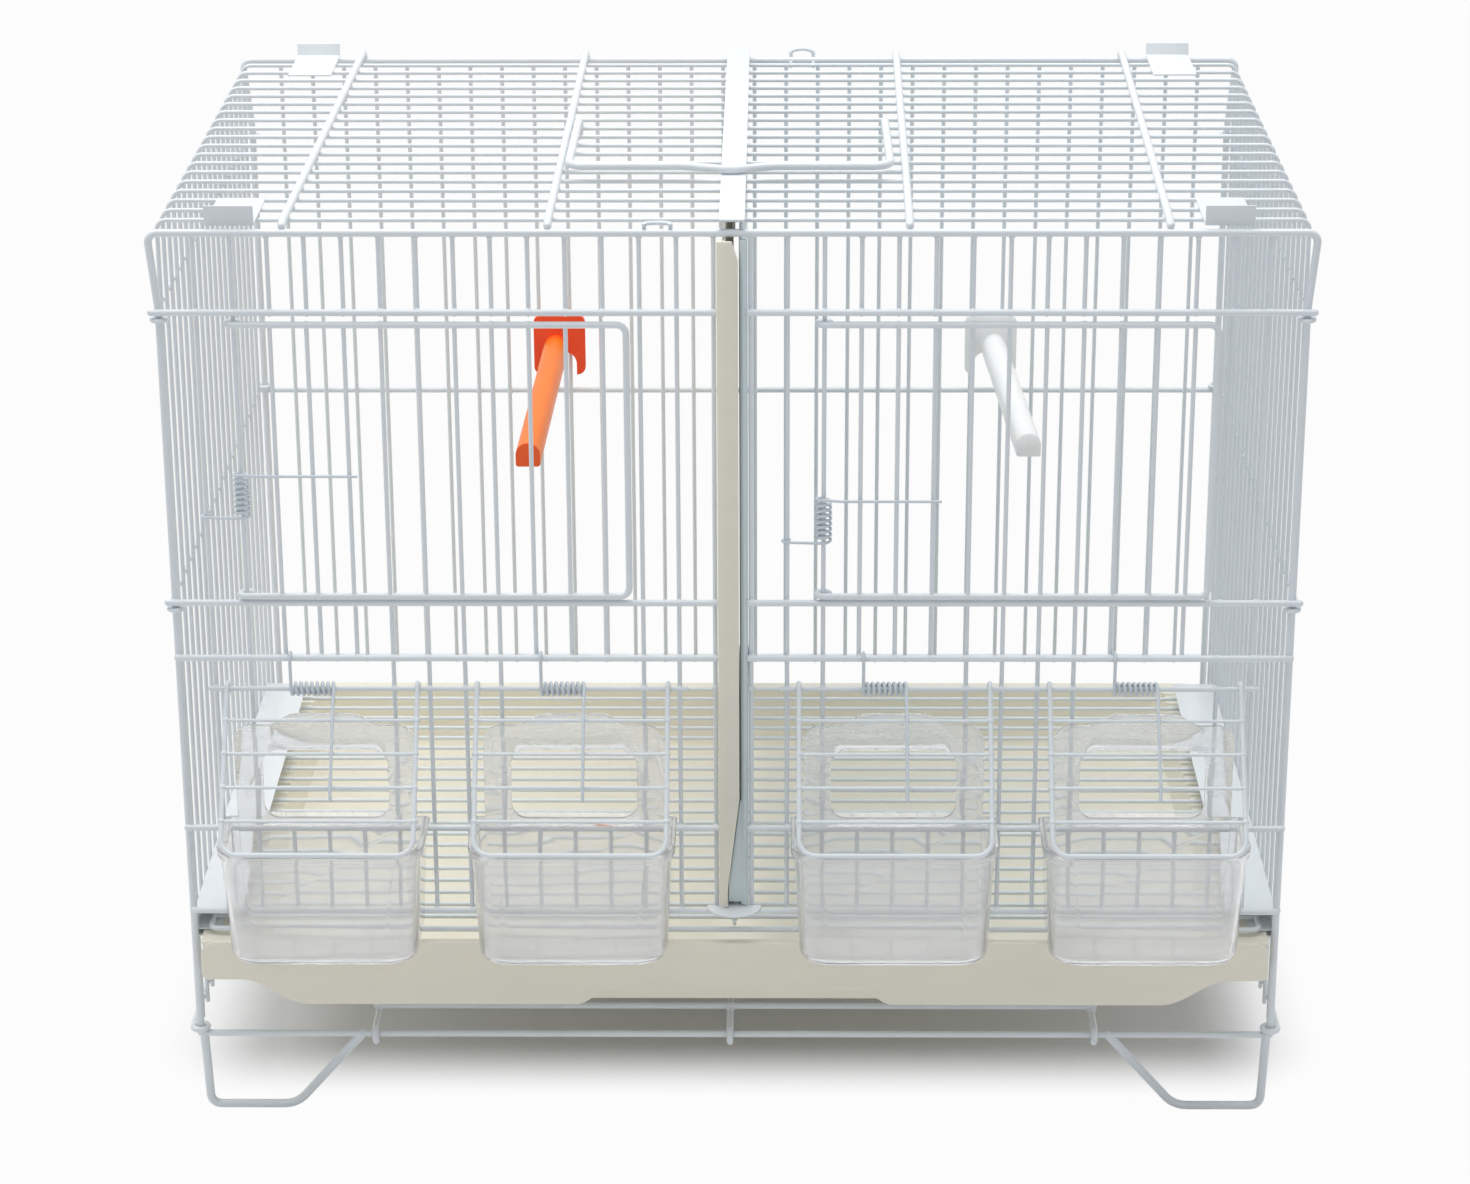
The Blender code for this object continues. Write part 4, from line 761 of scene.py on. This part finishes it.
# %% Make the flaps and their springs
FLAP_COIL_R, FLAP_SPRING_R = 0.00255, 0.0007
FLAP_SPRING_LENGTH = 0.018
FLAP_SPRING_TURNS = 8
FLAP_SPRING_SHIFT = 0.004
FLAP_LEG, LEG_START, LEG_TIP, LEG_DIP = 0.049, 0.0075, 0.003, 0.0012
for number, centre in enumerate(FEEDERS, 1):
    reach = FLAP_HALF - FLAP_BEND
    low = flap_length - FLAP_BEND
    path = arc((centre - FLAP_HALF, ROD_Y, ROD_Z), FLAP_EYE, -285, 0, OFF, DOWN)
    corners = [on_flap(centre, x, low, FLAP_EYE) for x in (-reach, reach)]
    path += arch(*corners, FLAP_BEND, DOWN)
    path += arc((centre + FLAP_HALF, ROD_Y, ROD_Z), FLAP_EYE, 0, -285, OFF, DOWN)
    step = flap_length / (FLAP_BARS + 1)
    half = FLAP_HALF + FLAP_BAR_PAST
    bar = [on_flap(centre, x, step, FLAP_EYE) for x in (-half, half)]
    parts = [wires([path], FLAP_R), wires([bar], FLAP_BAR_R, FLAP_BARS, step * DOWN, 10)]
    spots = []
    for x in (-FLAP_HALF, FLAP_HALF):
        spots += [on_flap(centre, x, step * k, FLAP_EYE) for k in range(1, FLAP_BARS + 1)]
    parts.append(welds(spots, (0.0015, 0.0013, 0.0014), 10))
    keep_wires(f"flap_wires_{number}", parts, f"flap_{number}", f"flap_{number}")

    left = centre - FLAP_SPRING_SHIFT - FLAP_SPRING_LENGTH / 2
    turned = FLAP_SPRING_TURNS - flap_angle / (2 * math.pi)
    step = FLAP_SPRING_LENGTH / turned
    start = Vector((left, ROD_Y, ROD_Z))
    turns = coil(start, FLAP_COIL_R, 0, turned, step, -Y, -Z, X)
    clear = RAIL_R + SLACK + FLAP_SPRING_R
    hooked = arc((left, FRONT - RAIL_Y, FEED_TOP), clear, 30, 180, Y, Z)
    right = turns[-1].x - centre
    face = FLAP_EYE + FLAP_R + SLACK + FLAP_SPRING_R
    leg = [on_flap(centre, right, along, face) for along in (LEG_START, FLAP_LEG - LEG_TIP)]
    leg.append(on_flap(centre, right, FLAP_LEG, face - LEG_DIP))
    keep_spring("flap", number, hooked + turns + leg, FLAP_SPRING_R, 8)

# %% [markdown]
# ## Closed shapes from outlines
# Most of what is left is an outline pushed along an axis, or a skin through rings of points.
# Both come out closed and facing out. A bevel then softens every edge as moulding and
# coating do, and booleans join or cut the shapes that are moulded in one.

# %% Define prisms and skins
PLACES = {"Y": (0, 2, 1), "Z": (0, 1, 2)}


def skin(rings):
    """A closed skin through rings of points, capped at both ends, facing out."""
    bm = bmesh.new()
    made = [[bm.verts.new(p) for p in ring] for ring in rings]
    for one, two in zip(made, made[1:]):
        for k in range(len(one)):
            bm.faces.new((one[k - 1], one[k], two[k], two[k - 1]))
    bm.faces.new(list(reversed(made[0])))
    bm.faces.new(made[-1])
    bmesh.ops.recalc_face_normals(bm, faces=bm.faces)
    mesh = bpy.data.meshes.new("shape")
    bm.to_mesh(mesh)
    bm.free()
    return mesh


def prism(outline, low, high, axis):
    """An outline in two coordinates, pushed along the third axis."""
    order = PLACES[axis]
    return skin([[[(a, b, c)[k] for k in order] for a, b in outline] for c in (low, high)])


def block(low, high):
    """A box between two opposite corners."""
    (a, b, c), (d, e, f) = low, high
    return prism(((a, b), (d, b), (d, e), (a, e)), c, f, "Z")


def corner(x, z, radius, start, end):
    """A round corner of an upright outline, as pairs."""
    return [(p.x, p.z) for p in arc((x, 0, z), radius, start, end, X, Z)]


def rounded(half, low, high, radius):
    """The outline of an upright plate with round corners."""
    outline = []
    for x, z, start in ((half, low, -90), (half, high, 0), (-half, high, 90), (-half, low, 180)):
        centre = (x - math.copysign(radius, x), z + (radius if z == low else -radius))
        outline += corner(*centre, radius, start, start + 90)
    return outline


# %% Define booleans and softened edges
EDGE_ANGLE, SMOOTH_ANGLE = math.radians(32), math.radians(50)


def carved(mesh, others, operation):
    """A mesh joined with others or cut by them."""
    held = [placed("operand", one) for one in (mesh, *others)]
    for other in held[1:]:
        modifier = held[0].modifiers.new("Carve", "BOOLEAN")
        modifier.operation = operation
        modifier.solver = "EXACT"
        modifier.object = other
    made = evaluated(held[0])
    for obj in held:
        bpy.data.objects.remove(obj)
    return made


def softened(name, meshes, finish, width, steps=2):
    """One object whose hard edges are rounded off by a bevel of that width."""
    obj = joined(name, meshes, finish)
    bm = bmesh.new()
    bm.from_mesh(obj.data)
    bmesh.ops.remove_doubles(bm, verts=bm.verts, dist=0.00001)
    bmesh.ops.dissolve_limit(bm, angle_limit=math.radians(1), verts=bm.verts, edges=bm.edges)
    bm.to_mesh(obj.data)
    bm.free()
    modifier = obj.modifiers.new("Soften", "BEVEL")
    modifier.width = width
    modifier.segments = steps
    modifier.limit_method = "ANGLE"
    modifier.angle_limit = EDGE_ANGLE
    made = evaluated(obj)
    obj.modifiers.clear()
    obj.data = made
    made.shade_smooth()
    made.set_sharp_from_angle(angle=SMOOTH_ANGLE)
    return obj


def copy_of(node):
    """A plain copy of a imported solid's mesh, to be softened."""
    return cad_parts[node].data.copy()


# %% [markdown]
# ## The feeders
# A feeder is an open cup with a rolled rim and round front corners, moulded in one with a tall
# back whose top rises in a low arch, and a tongue that lies on the panel's rail. A window in the
# back lets the bird reach in. Real wall thickness matters here, because clear plastic shows it,
# so the skin runs up the outside, over the rim and down the inside.

# %% Draw the cup and its tall back
STANDOFF = 0.0038
CUP_HALF, CUP_DEPTH, CUP_FLOOR = 0.0420, 0.0444, 0.0905
CUP_WALL, CUP_LIP, CUP_BAND = 0.0014, 0.0015, 0.0042
CUP_CORNER, CUP_TAPER = 0.014, 0.0025
PLATE_T, PLATE_HALF, PLATE_SHOULDER = 0.0018, 0.038, 0.1845
PLATE_CORNER, PLATE_ARCH = 0.008, 0.0052
CROWN_HALF, CROWN_STEPS, CROWN_SINK = 0.028, 12, 0.0004
CREST_HALF, CREST_FALL = 0.012, 0.012


def cup_ring(inset, z):
    """The cup's plan at a height: square at the panel, round at the front corners."""
    drop = CUP_TAPER * (CUP_RIM_Z - z) / (CUP_RIM_Z - CUP_FLOOR)
    half = CUP_HALF - drop - inset
    back = -PLATE_T / 2 - max(inset, 0)
    front = -(CUP_DEPTH - CUP_LIP - drop - inset)
    radius = CUP_CORNER - inset
    ring = [Vector((half, back, z))]
    ring += arc((half - radius, front + radius, z), radius, 0, -90, X, Y)
    ring += arc((radius - half, front + radius, z), radius, -90, -180, X, Y)
    ring.append(Vector((-half, back, z)))
    return ring


def cup_mesh():
    """The skin up the outside, over the rim and down the inside, by inset and height."""
    band = CUP_RIM_Z - CUP_BAND
    profile = (
        (0.0030, CUP_FLOOR),
        (0.0014, CUP_FLOOR + 0.0004),
        (0.0004, CUP_FLOOR + 0.0014),
        (0, CUP_FLOOR + 0.0030),
        (0, band),
        (-0.0011, band + 0.0003),
        (-CUP_LIP, band + 0.0009),
        (-CUP_LIP, CUP_RIM_Z - RIM_ROUND),
        (-0.0010, CUP_RIM_Z - 0.0001),
        (-0.0003, CUP_RIM_Z),
        (CUP_WALL - 0.0005, CUP_RIM_Z),
        (CUP_WALL, CUP_RIM_Z - 0.0005),
        (CUP_WALL, CUP_FLOOR + 0.0032),
        (CUP_WALL + 0.0005, CUP_FLOOR + 0.0020),
        (0.0030, CUP_FLOOR + CUP_WALL),
    )
    return skin([cup_ring(inset, z) for inset, z in profile])


def plate_outline():
    """The tall back: a low arch between two dips, over round shoulders."""
    foot = CUP_FLOOR + 0.003
    right = [(PLATE_HALF - 0.001, foot), (PLATE_HALF, CUP_RIM_Z)]
    centre = (PLATE_HALF - PLATE_CORNER, PLATE_SHOULDER - PLATE_CORNER)
    right += corner(*centre, PLATE_CORNER, 0, 80)
    crown = []
    for k in range(2 * CROWN_STEPS + 1):
        x = CROWN_HALF * (1 - k / CROWN_STEPS)
        fall = min(1, max(0, (abs(x) - CREST_HALF) / CREST_FALL))
        lift = 0.5 + 0.5 * math.cos(math.pi * fall)
        crown.append((x, PLATE_SHOULDER - CROWN_SINK + PLATE_ARCH * lift))
    return right + crown + [(-x, z) for x, z in reversed(right)]


# %% Make the feeders
TONGUE_Z = FEED_LOW + RAIL_R + SLACK
TONGUE_HALF, TONGUE_REACH, TONGUE_T = 0.028, 0.0118, 0.0015
WINDOW = (0.0265, 0.1416, 0.1730, 0.0066)


def feeder_mesh():
    """Cup, back and tongue in one, with the window cut and the cup left open inside."""
    plate = prism(plate_outline(), -PLATE_T, 0, "Y")
    low = (-TONGUE_HALF, -PLATE_T / 2, TONGUE_Z)
    tongue = block(low, (TONGUE_HALF, TONGUE_REACH, TONGUE_Z + TONGUE_T))
    body = carved(cup_mesh(), [plate, tongue], "UNION")
    window = prism(rounded(*WINDOW), -0.0033, PLATE_T, "Y")
    rings = [cup_ring(CUP_WALL, z) for z in (CUP_FLOOR + 0.0031, CUP_RIM_Z + CUP_LIP)]
    for ring in rings:
        ring[0].y = ring[-1].y = -PLATE_T
    return carved(body, [window, skin(rings)], "DIFFERENCE")


one_feeder = feeder_mesh()
for number, centre in enumerate(FEEDERS, 1):
    mesh = one_feeder.copy()
    mesh.transform(Matrix.Translation((centre, FRONT - STANDOFF, 0)))
    feeder = softened(f"feeder_cup_{number}", [mesh], CLEAR, 0.0003)
    keep(feeder, f"feeder_{number}", "clear_plastic", f"feeder_{number}")

# %% [markdown]
# ## Folded sheet on the roof and at the sides
# The tracks, the clips and the side strips are thin coated sheet, cut and folded. The tracks'
# and clips' solids are copied, merged and given the small round that coating leaves on an edge,
# and the front clips' lips a little more height. A side strip is drawn from its folds: a ledge
# for the tray, one for the grate, and a level lip over both.

# %% Soften the tracks and clips
LIP_Z, LIP_RISE = ROOF_Z + 0.004, 0.0023
SHEET_ROUND = 0.0002
SHIFTS = {"clip_back_left": 0.0036, "clip_front_right": -0.0024}
CLIPS = tuple(f"clip_{end}_{side}" for end in ("front", "back") for side in ("left", "right"))
for node in ("roof_track", "floor_track", *CLIPS):
    mesh = copy_of(node)
    for vertex in mesh.vertices:
        if node.startswith("clip_front") and vertex.co.z > LIP_Z:
            vertex.co.z += LIP_RISE
        vertex.co.x += SHIFTS.get(node, 0)
    sheet = softened(f"{node}_sheet", [mesh], SHEET_COAT, SHEET_ROUND)
    keep(sheet, "cage", "coated_sheet", node)

# %% Fold the side strips
SHEET_T = 0.0008
WALL, LEDGE, LIP = 0.23245, 0.22145, 0.2128
STRIP_HEIGHTS = (0.0822, 0.0830, 0.0853, 0.0861, 0.0947, 0.0955)
STRIP_AHEAD, STRIP_SHORT = 0.0006, 0.0435
foot, tray_seat, grate_under, grate_seat, lip_under, top = STRIP_HEIGHTS
inner = WALL - SHEET_T
folds = [(WALL, foot), (WALL, top), (LIP, top), (LIP, lip_under), (inner, lip_under)]
folds += [(inner, grate_seat), (LEDGE, grate_seat), (LEDGE, grate_under), (inner, grate_under)]
folds += [(inner, tray_seat), (LEDGE, tray_seat), (LEDGE, foot)]
for side, word in ((-1, "left"), (1, "right")):
    outline = [(side * x, z) for x, z in folds]
    strip = prism(outline, FRONT + POST_R + STRIP_AHEAD, BACK - STRIP_SHORT, "Y")
    sheet = softened(f"side_guard_{word}_sheet", [strip], SHEET_COAT, SHEET_ROUND)
    keep(sheet, "cage", "coated_sheet", f"side_guard_{word}")

# %% [markdown]
# ## The handle and the hanging loops
# The bail turns on a roof wire and lies forward, its middle bowed for the fingers. Two small
# loops of thin wire hook over the hoops. Both are single wires, so each is one path of arcs.

# %% Make the handle
HANDLE_HALF, HANDLE_REACH = 0.0675, 0.091
HANDLE_R, HANDLE_BEND = 0.0018, 0.0072
HANDLE_BOW, BOW_DEPTH = 0.021, 0.005
BOW_STEPS = 12
TRACK_Z, TRACK_RISE = 0.39945, 0.0035
pivot = Vector((-0.0018, FRONT + 11 * PITCH, ROOF_Z))
eye = BAR_R + 2 * SLACK + HANDLE_R
rest = TRACK_Z - ROOF_Z + TRACK_RISE + SLACK + HANDLE_R
turn_x, turn_y = HANDLE_HALF - HANDLE_BEND, HANDLE_BEND - HANDLE_REACH
path = arc(pivot - HANDLE_HALF * X, eye, -300, 0, Z, -Y)
path += arc(pivot + Vector((-turn_x, turn_y, rest)), HANDLE_BEND, 0, 90, -X, -Y)
for k in range(2 * BOW_STEPS + 1):
    x = HANDLE_BOW * (k / BOW_STEPS - 1)
    share = (1 + math.cos(math.pi * x / HANDLE_BOW)) / 2
    path.append(pivot + Vector((x, -HANDLE_REACH - BOW_DEPTH * share, rest)))
path += arc(pivot + Vector((turn_x, turn_y, rest)), HANDLE_BEND, 90, 0, X, -Y)
path += arc(pivot + HANDLE_HALF * X, eye, 0, -300, Z, -Y)
keep_wires("carrying_handle", [wires([path], HANDLE_R, sides=16)], "handle", "handle")

# %% Make the hanging loops
LOOP_R, LOOP_HALF, LOOP_REACH = 0.0009, 0.0053, 0.0020
seat = POST_R + SLACK + LOOP_R
for word, x, y, lift, over, turn in (
    ("front", -0.030, FRONT, Y, Z, 95),
    ("back", 0.030, BACK, Z, Y, -170),
):
    rail = Vector((x, y, TOP))
    bow = lift * LOOP_REACH / LOOP_HALF
    path = arc(rail - LOOP_HALF * X, seat, turn, 0, over, lift)
    path += arc(rail + seat * (over + lift), LOOP_HALF, 180, 0, X, bow)
    path += arc(rail + LOOP_HALF * X, seat, 0, turn, over, lift)
    keep_wires(f"hanging_loop_{word}", [wires([path], LOOP_R)], "cage", f"hang_loop_{word}")

# %% [markdown]
# ## The tray
# The tray is thin cream plastic: a pan with a flange that slides on the side strips, and a taller
# front, full width above and stepped in below, with its lower edge raised in the middle as a
# grip. The pan is a skin through rings, as the cups are, and the front is a pushed outline that
# is joined to it. Every edge is well rounded.

# %% Draw the tray
TRAY_HALF, TRAY_BODY = 0.229, 0.212
TRAY_TOP, TRAY_SHOULDER, TRAY_LOW = 0.0850, 0.0674, 0.0557
TRAY_STEP, TRAY_WALL = 0.184, 0.0020
TRAY_CORNER, FRONT_CORNER = 0.010, 0.002
FLANGE_T, STEP_ROUND, TOP_ROUND = 0.0017, 0.003, 0.006
GRIP_HALF, GRIP_SLOPE, GRIP_RISE = 0.054, 0.014, 0.0068
tray_front_y = FRONT - 0.008
tray_back_y = BACK - 0.0215


def tray_ring(inset, narrow, z, rim=0.0):
    """A rounded rectangle: the pan at a height, grown sideways by the flange."""
    half = TRAY_BODY - inset - narrow + rim
    near = tray_front_y + inset - (TRAY_WALL / 2 if rim else 0)
    far = tray_back_y - inset + rim / 4
    ring = []
    for sx, y, start in ((1, near, -90), (1, far, 0), (-1, far, 90), (-1, near, 180)):
        radius = FRONT_CORNER if y == near else TRAY_CORNER
        centre = (sx * (half - radius), y + (radius if y == near else -radius), z)
        ring += arc(centre, radius, start, start + 90, X, Y, 15)
    return ring


def slope(start, end, steps):
    """A smooth S from one point of an outline to another, level at both ends."""
    (x, z), (far_x, far_z) = start, end
    shares = [k / steps for k in range(steps + 1)]
    return [(x + (far_x - x) * t, z + (far_z - z) * (t * t * (3 - 2 * t))) for t in shares]


def tray_outline():
    """The front seen from the front: smooth steps, and the raised grip edge."""
    grip = (GRIP_HALF, TRAY_LOW + GRIP_RISE)
    right = slope(grip, (GRIP_HALF + GRIP_SLOPE, TRAY_LOW), 8)
    right += slope((TRAY_STEP, TRAY_LOW), (TRAY_BODY, TRAY_SHOULDER), 12)
    right += corner(TRAY_HALF - STEP_ROUND, TRAY_SHOULDER + STEP_ROUND, STEP_ROUND, -90, 0)
    right += corner(TRAY_HALF - TOP_ROUND, TRAY_TOP - TOP_ROUND, TOP_ROUND, 0, 90)
    return right + [(-x, z) for x, z in reversed(right)]


# %% Make the tray
under = TRAY_TOP - FLANGE_T
flange = TRAY_HALF - TRAY_BODY
profile = (
    (0.0050, 0.028, TRAY_LOW),
    (0.0030, 0.026, TRAY_LOW + 0.0006),
    (0.0016, 0.020, TRAY_LOW + 0.0030),
    (0.0006, 0.004, TRAY_SHOULDER),
    (0, 0, under),
    (0, 0, under, flange),
    (0, 0, TRAY_TOP, flange),
    (TRAY_WALL, 0, TRAY_TOP),
    (TRAY_WALL + 0.0006, 0.004, TRAY_SHOULDER + 0.0008),
    (0.0040, 0.022, TRAY_LOW + 0.0044),
    (0.0060, 0.026, TRAY_LOW + TRAY_WALL),
)
pan = skin([tray_ring(*row) for row in profile])
front_wall = prism(tray_outline(), tray_front_y - TRAY_WALL, tray_front_y + TRAY_WALL / 2, "Y")
pan = carved(pan, [front_wall], "UNION")
tray = softened("droppings_tray", [pan], CREAM, 0.0009, 3)
keep(tray, "tray", "cream_plastic", "tray")

# %% [markdown]
# ## The floor grate
# One wire bends round three sides and carries 22 cross bars, the last one closing the back, with
# a thin stay under their middle. The cross bars are one wire repeated at an even step.

# %% Make the grate
GRATE_HALF, GRATE_Z = 0.2255, 0.0876
GRATE_R, STAY_R = 0.0012, 0.0008
GRATE_BARS = 22
GRATE_BEND = 0.0036
STAY_AHEAD = 0.0087
front_y, back_y = FRONT - 0.0015, BACK - 0.0310
turn_x, turn_y = GRATE_HALF - GRATE_BEND, front_y + GRATE_BEND
path = arch((-turn_x, turn_y, GRATE_Z), (turn_x, turn_y, GRATE_Z), GRATE_BEND, -Y)
path = [(-GRATE_HALF, back_y, GRATE_Z), *path, (GRATE_HALF, back_y, GRATE_Z)]
gap = (back_y - BAR_R - front_y) / GRATE_BARS
stay_z = GRATE_Z - BAR_R - STAY_R + WELD_SINK
bar = [(x, front_y + gap, GRATE_Z) for x in (-GRATE_HALF, GRATE_HALF)]
stay = [(0, y, stay_z) for y in (front_y + STAY_AHEAD, back_y)]
parts = [wires([path], GRATE_R), wires([bar], BAR_R, GRATE_BARS, (0, gap, 0))]
parts.append(wires([stay], STAY_R))
spots = []
for x, z in ((-GRATE_HALF, GRATE_Z), (GRATE_HALF, GRATE_Z), (0, stay_z + STAY_R / 2)):
    spots += [(x, front_y + gap * k, z) for k in range(1, GRATE_BARS + 1)]
parts.append(welds(spots, (0.0013, 0.0013, 0.0010), 11))
keep_wires("floor_grille", parts, "grate", "floor_grate")

# %% [markdown]
# ## Dividers and perches
# Two leaves stand in the slot between the halves, one cream with a tapering front flange and one
# pale with a rolled edge. Their solids are already the right shape, so they are copied and only
# softened. The pale one has a thin web in the wedge that the taper leaves, so no dark slot shows.

# %% Finish the dividers
wedge = [(-0.00225, 0.1010), (0.0036, 0.1010), (0.0036, 0.1495), (0.00255, 0.1478)]
web = prism([*wedge, (-0.00225, 0.1090)], FRONT - 0.0020, FRONT - 0.0006, "Y")
for node, finish, slot, extra in (
    ("divider_flanged", CREAM, "cream_plastic", []),
    ("divider_rolled", PALE, "pale_plastic", [web]),
):
    leaf = softened(f"{node}_moulded", [copy_of(node), *extra], finish, 0.0004, 3)
    keep(leaf, node, slot, node)

# %% [markdown]
# A perch hangs on the back panel by two hooks behind a plate with an arch cut in its foot. Its
# bar is round above and flat below, and leans a little to one side. Plate, bar and hooks are
# joined by a boolean, because they are moulded in one.

# %% Draw a perch's bar and hooks
PERCH_Z, PERCH_HALF, PERCH_CUT = 0.2572, 0.0055, 0.0008
PLATE_FRONT = BACK - BAR_R - 0.0033
PERCH_ROOT = PLATE_FRONT + 0.0015
HOOK_T, HOOK_TURN, HOOK_HALF = 0.002, 0.0022, 0.004
PERCH_PLATE = (0.0125, PERCH_Z - 0.0150, PERCH_Z + 0.0150, 0.004)
PERCH_ARCH = (0.0082, PERCH_Z - 0.0250, PERCH_Z - 0.0035, 0.0060)


def perch_section(x, y):
    """Round above, flat below, with the two lower corners cut."""
    left, right, foot = x - PERCH_HALF, x + PERCH_HALF, PERCH_Z - PERCH_HALF
    ring = [(left, y, foot + PERCH_CUT), (left + PERCH_CUT, y, foot)]
    ring += [(right - PERCH_CUT, y, foot), (right, y, foot + PERCH_CUT)]
    return ring + arc((x, y, PERCH_Z), PERCH_HALF, 0, 180, X, Z)


def perch_hook(column, side):
    """A hook that reaches between two bars of the back panel and turns outwards behind one."""
    edge, behind = PITCH / 2 - BAR_R - SLACK, BACK + BAR_R + SLACK
    inner, outer, tip = edge - HOOK_T, edge + HOOK_TURN, behind + HOOK_T
    outline = [(inner, PERCH_ROOT), (edge, PERCH_ROOT), (edge, behind), (outer, behind)]
    outline += [(outer, tip), (inner, tip)]
    outline = [(column + side * x, y) for x, y in outline]
    return prism(outline, PERCH_Z - HOOK_HALF, PERCH_Z + HOOK_HALF, "Z")


# %% Make the perches
for word, column, plate_x, base_x, end_x, length, finish, slot in (
    ("left", -0.090, -0.0875, -0.0893, -0.0931, 0.164, ORANGE, "orange_plastic"),
    ("right", 0.120, 0.1220, 0.1235, 0.1314, 0.150, MILKY, "milky_plastic"),
):
    plate = prism(rounded(*PERCH_PLATE), PLATE_FRONT, PLATE_FRONT + 0.003, "Y")
    arch = prism(rounded(*PERCH_ARCH), PLATE_FRONT - 0.01, PLATE_FRONT + 0.01, "Y")
    plate = carved(plate, [arch], "DIFFERENCE")
    plate.transform(Matrix.Translation((plate_x, 0, 0)))
    ends = ((base_x, PERCH_ROOT), (end_x, PLATE_FRONT - length))
    stem = skin([perch_section(x, y) for x, y in ends])
    hooks = [perch_hook(column, side) for side in (-1, 1)]
    plate = carved(plate, [stem, *hooks], "UNION")
    perch = softened(f"perch_{word}_moulded", [plate], finish, 0.0005, 3)
    keep(perch, "cage", slot, f"perch_{word}")

# %% [markdown]
# ## Floor and light
# A plain white floor and an even sky, with one broad soft lamp high above. What the camera,
# glass and gloss see of the sky is plain white, while the light itself stays at a plain level.
# Under the cage and close round it the floor keeps its shadow, and further out it turns to the
# same plain white.

# %% Set the floor
SEEN_RAYS = ("Camera", "Glossy", "Transmission")
SHADOW_MIDDLE, SHADOW_HALF, SHADOW_FADE = (0, 0.050, 0), (0.212, 0.115, 1), 0.055
FLOOR_HALF, FLOOR_DROP = 8, 0.0002


def start_shown(owner):
    """An empty node tree, and 1 for what the camera, gloss or glass sees."""
    owner.use_nodes = True
    owner.node_tree.nodes.clear()
    graph = Graph(owner.node_tree)
    camera, gloss, glass = (
        graph.add("ShaderNodeLightPath", out=f"Is {kind} Ray") for kind in SEEN_RAYS
    )
    either = {"operation": "ADD", "use_clamp": True}
    return graph, graph.add("ShaderNodeMath", either, {0: camera + gloss, 1: glass})


corners = [(x, y, 0) for x, y in ((-1, -1), (1, -1), (1, 1), (-1, 1))]
floor_mesh = bpy.data.meshes.new("floor")
floor_mesh.from_pydata([FLOOR_HALF * Vector(p) for p in corners], [], [(0, 1, 2, 3)])
floor = placed("floor", floor_mesh)
floor.location.z = -FLOOR_DROP

ground = bpy.data.materials.new("floor")
graph, shown = start_shown(ground)
away = graph.add("ShaderNodeTexCoord", out="Object")
for operation, other in (
    ("SUBTRACT", SHADOW_MIDDLE),
    ("ABSOLUTE", (0, 0, 0)),
    ("SUBTRACT", SHADOW_HALF),
    ("MAXIMUM", (0, 0, 0)),
):
    away = graph.add("ShaderNodeVectorMath", {"operation": operation}, {0: away, 1: other})
away = graph.add("ShaderNodeVectorMath", {"operation": "LENGTH"}, {0: away}, out="Value")
outside = graph.rise(away, 0.0, SHADOW_FADE, "SMOOTHSTEP")
matt = graph.add("ShaderNodeBsdfDiffuse", None, {"Color": (0.86, 0.86, 0.86, 1)})
plain = graph.add("ShaderNodeEmission", None, {"Color": (1, 1, 1, 1), "Strength": 0.975})
both = graph.blend(outside * shown, matt, plain)
graph.add("ShaderNodeOutputMaterial", None, {"Surface": both})
floor_mesh.materials.append(ground)
print("floor keeps its shadow within", SHADOW_HALF[:2], "of", SHADOW_MIDDLE[:2])

# %% Set the sky and the lamp
world = bpy.data.worlds.new("studio")
graph, shown = start_shown(world)
sky = graph.add("ShaderNodeBackground", None, {"Color": (0.93, 0.96, 1.0, 1), "Strength": 0.47})
white = graph.add("ShaderNodeBackground", None, {"Color": (1, 1, 1, 1), "Strength": 1.0})
both = graph.blend(shown, sky, white)
graph.add("ShaderNodeOutputWorld", None, {"Surface": both})
bpy.context.scene.world = world

LAMP_WATTS = 36
LAMP_SIZE, LAMP_PLACE, LAMP_TILT = (2.4, 1.6), (-0.3, 0.15, 2.0), (-4, -8)
lamp_data = bpy.data.lights.new("soft_lamp", "AREA")
lamp_data.shape = "RECTANGLE"
lamp_data.size, lamp_data.size_y = LAMP_SIZE
lamp_data.energy = LAMP_WATTS
lamp = placed("soft_lamp", lamp_data)
lamp.location = LAMP_PLACE
lamp.rotation_euler = (*(math.radians(angle) for angle in LAMP_TILT), 0)
bpy.context.scene.view_settings.view_transform = "Standard"
print("lamp", lamp_data.energy, "W")
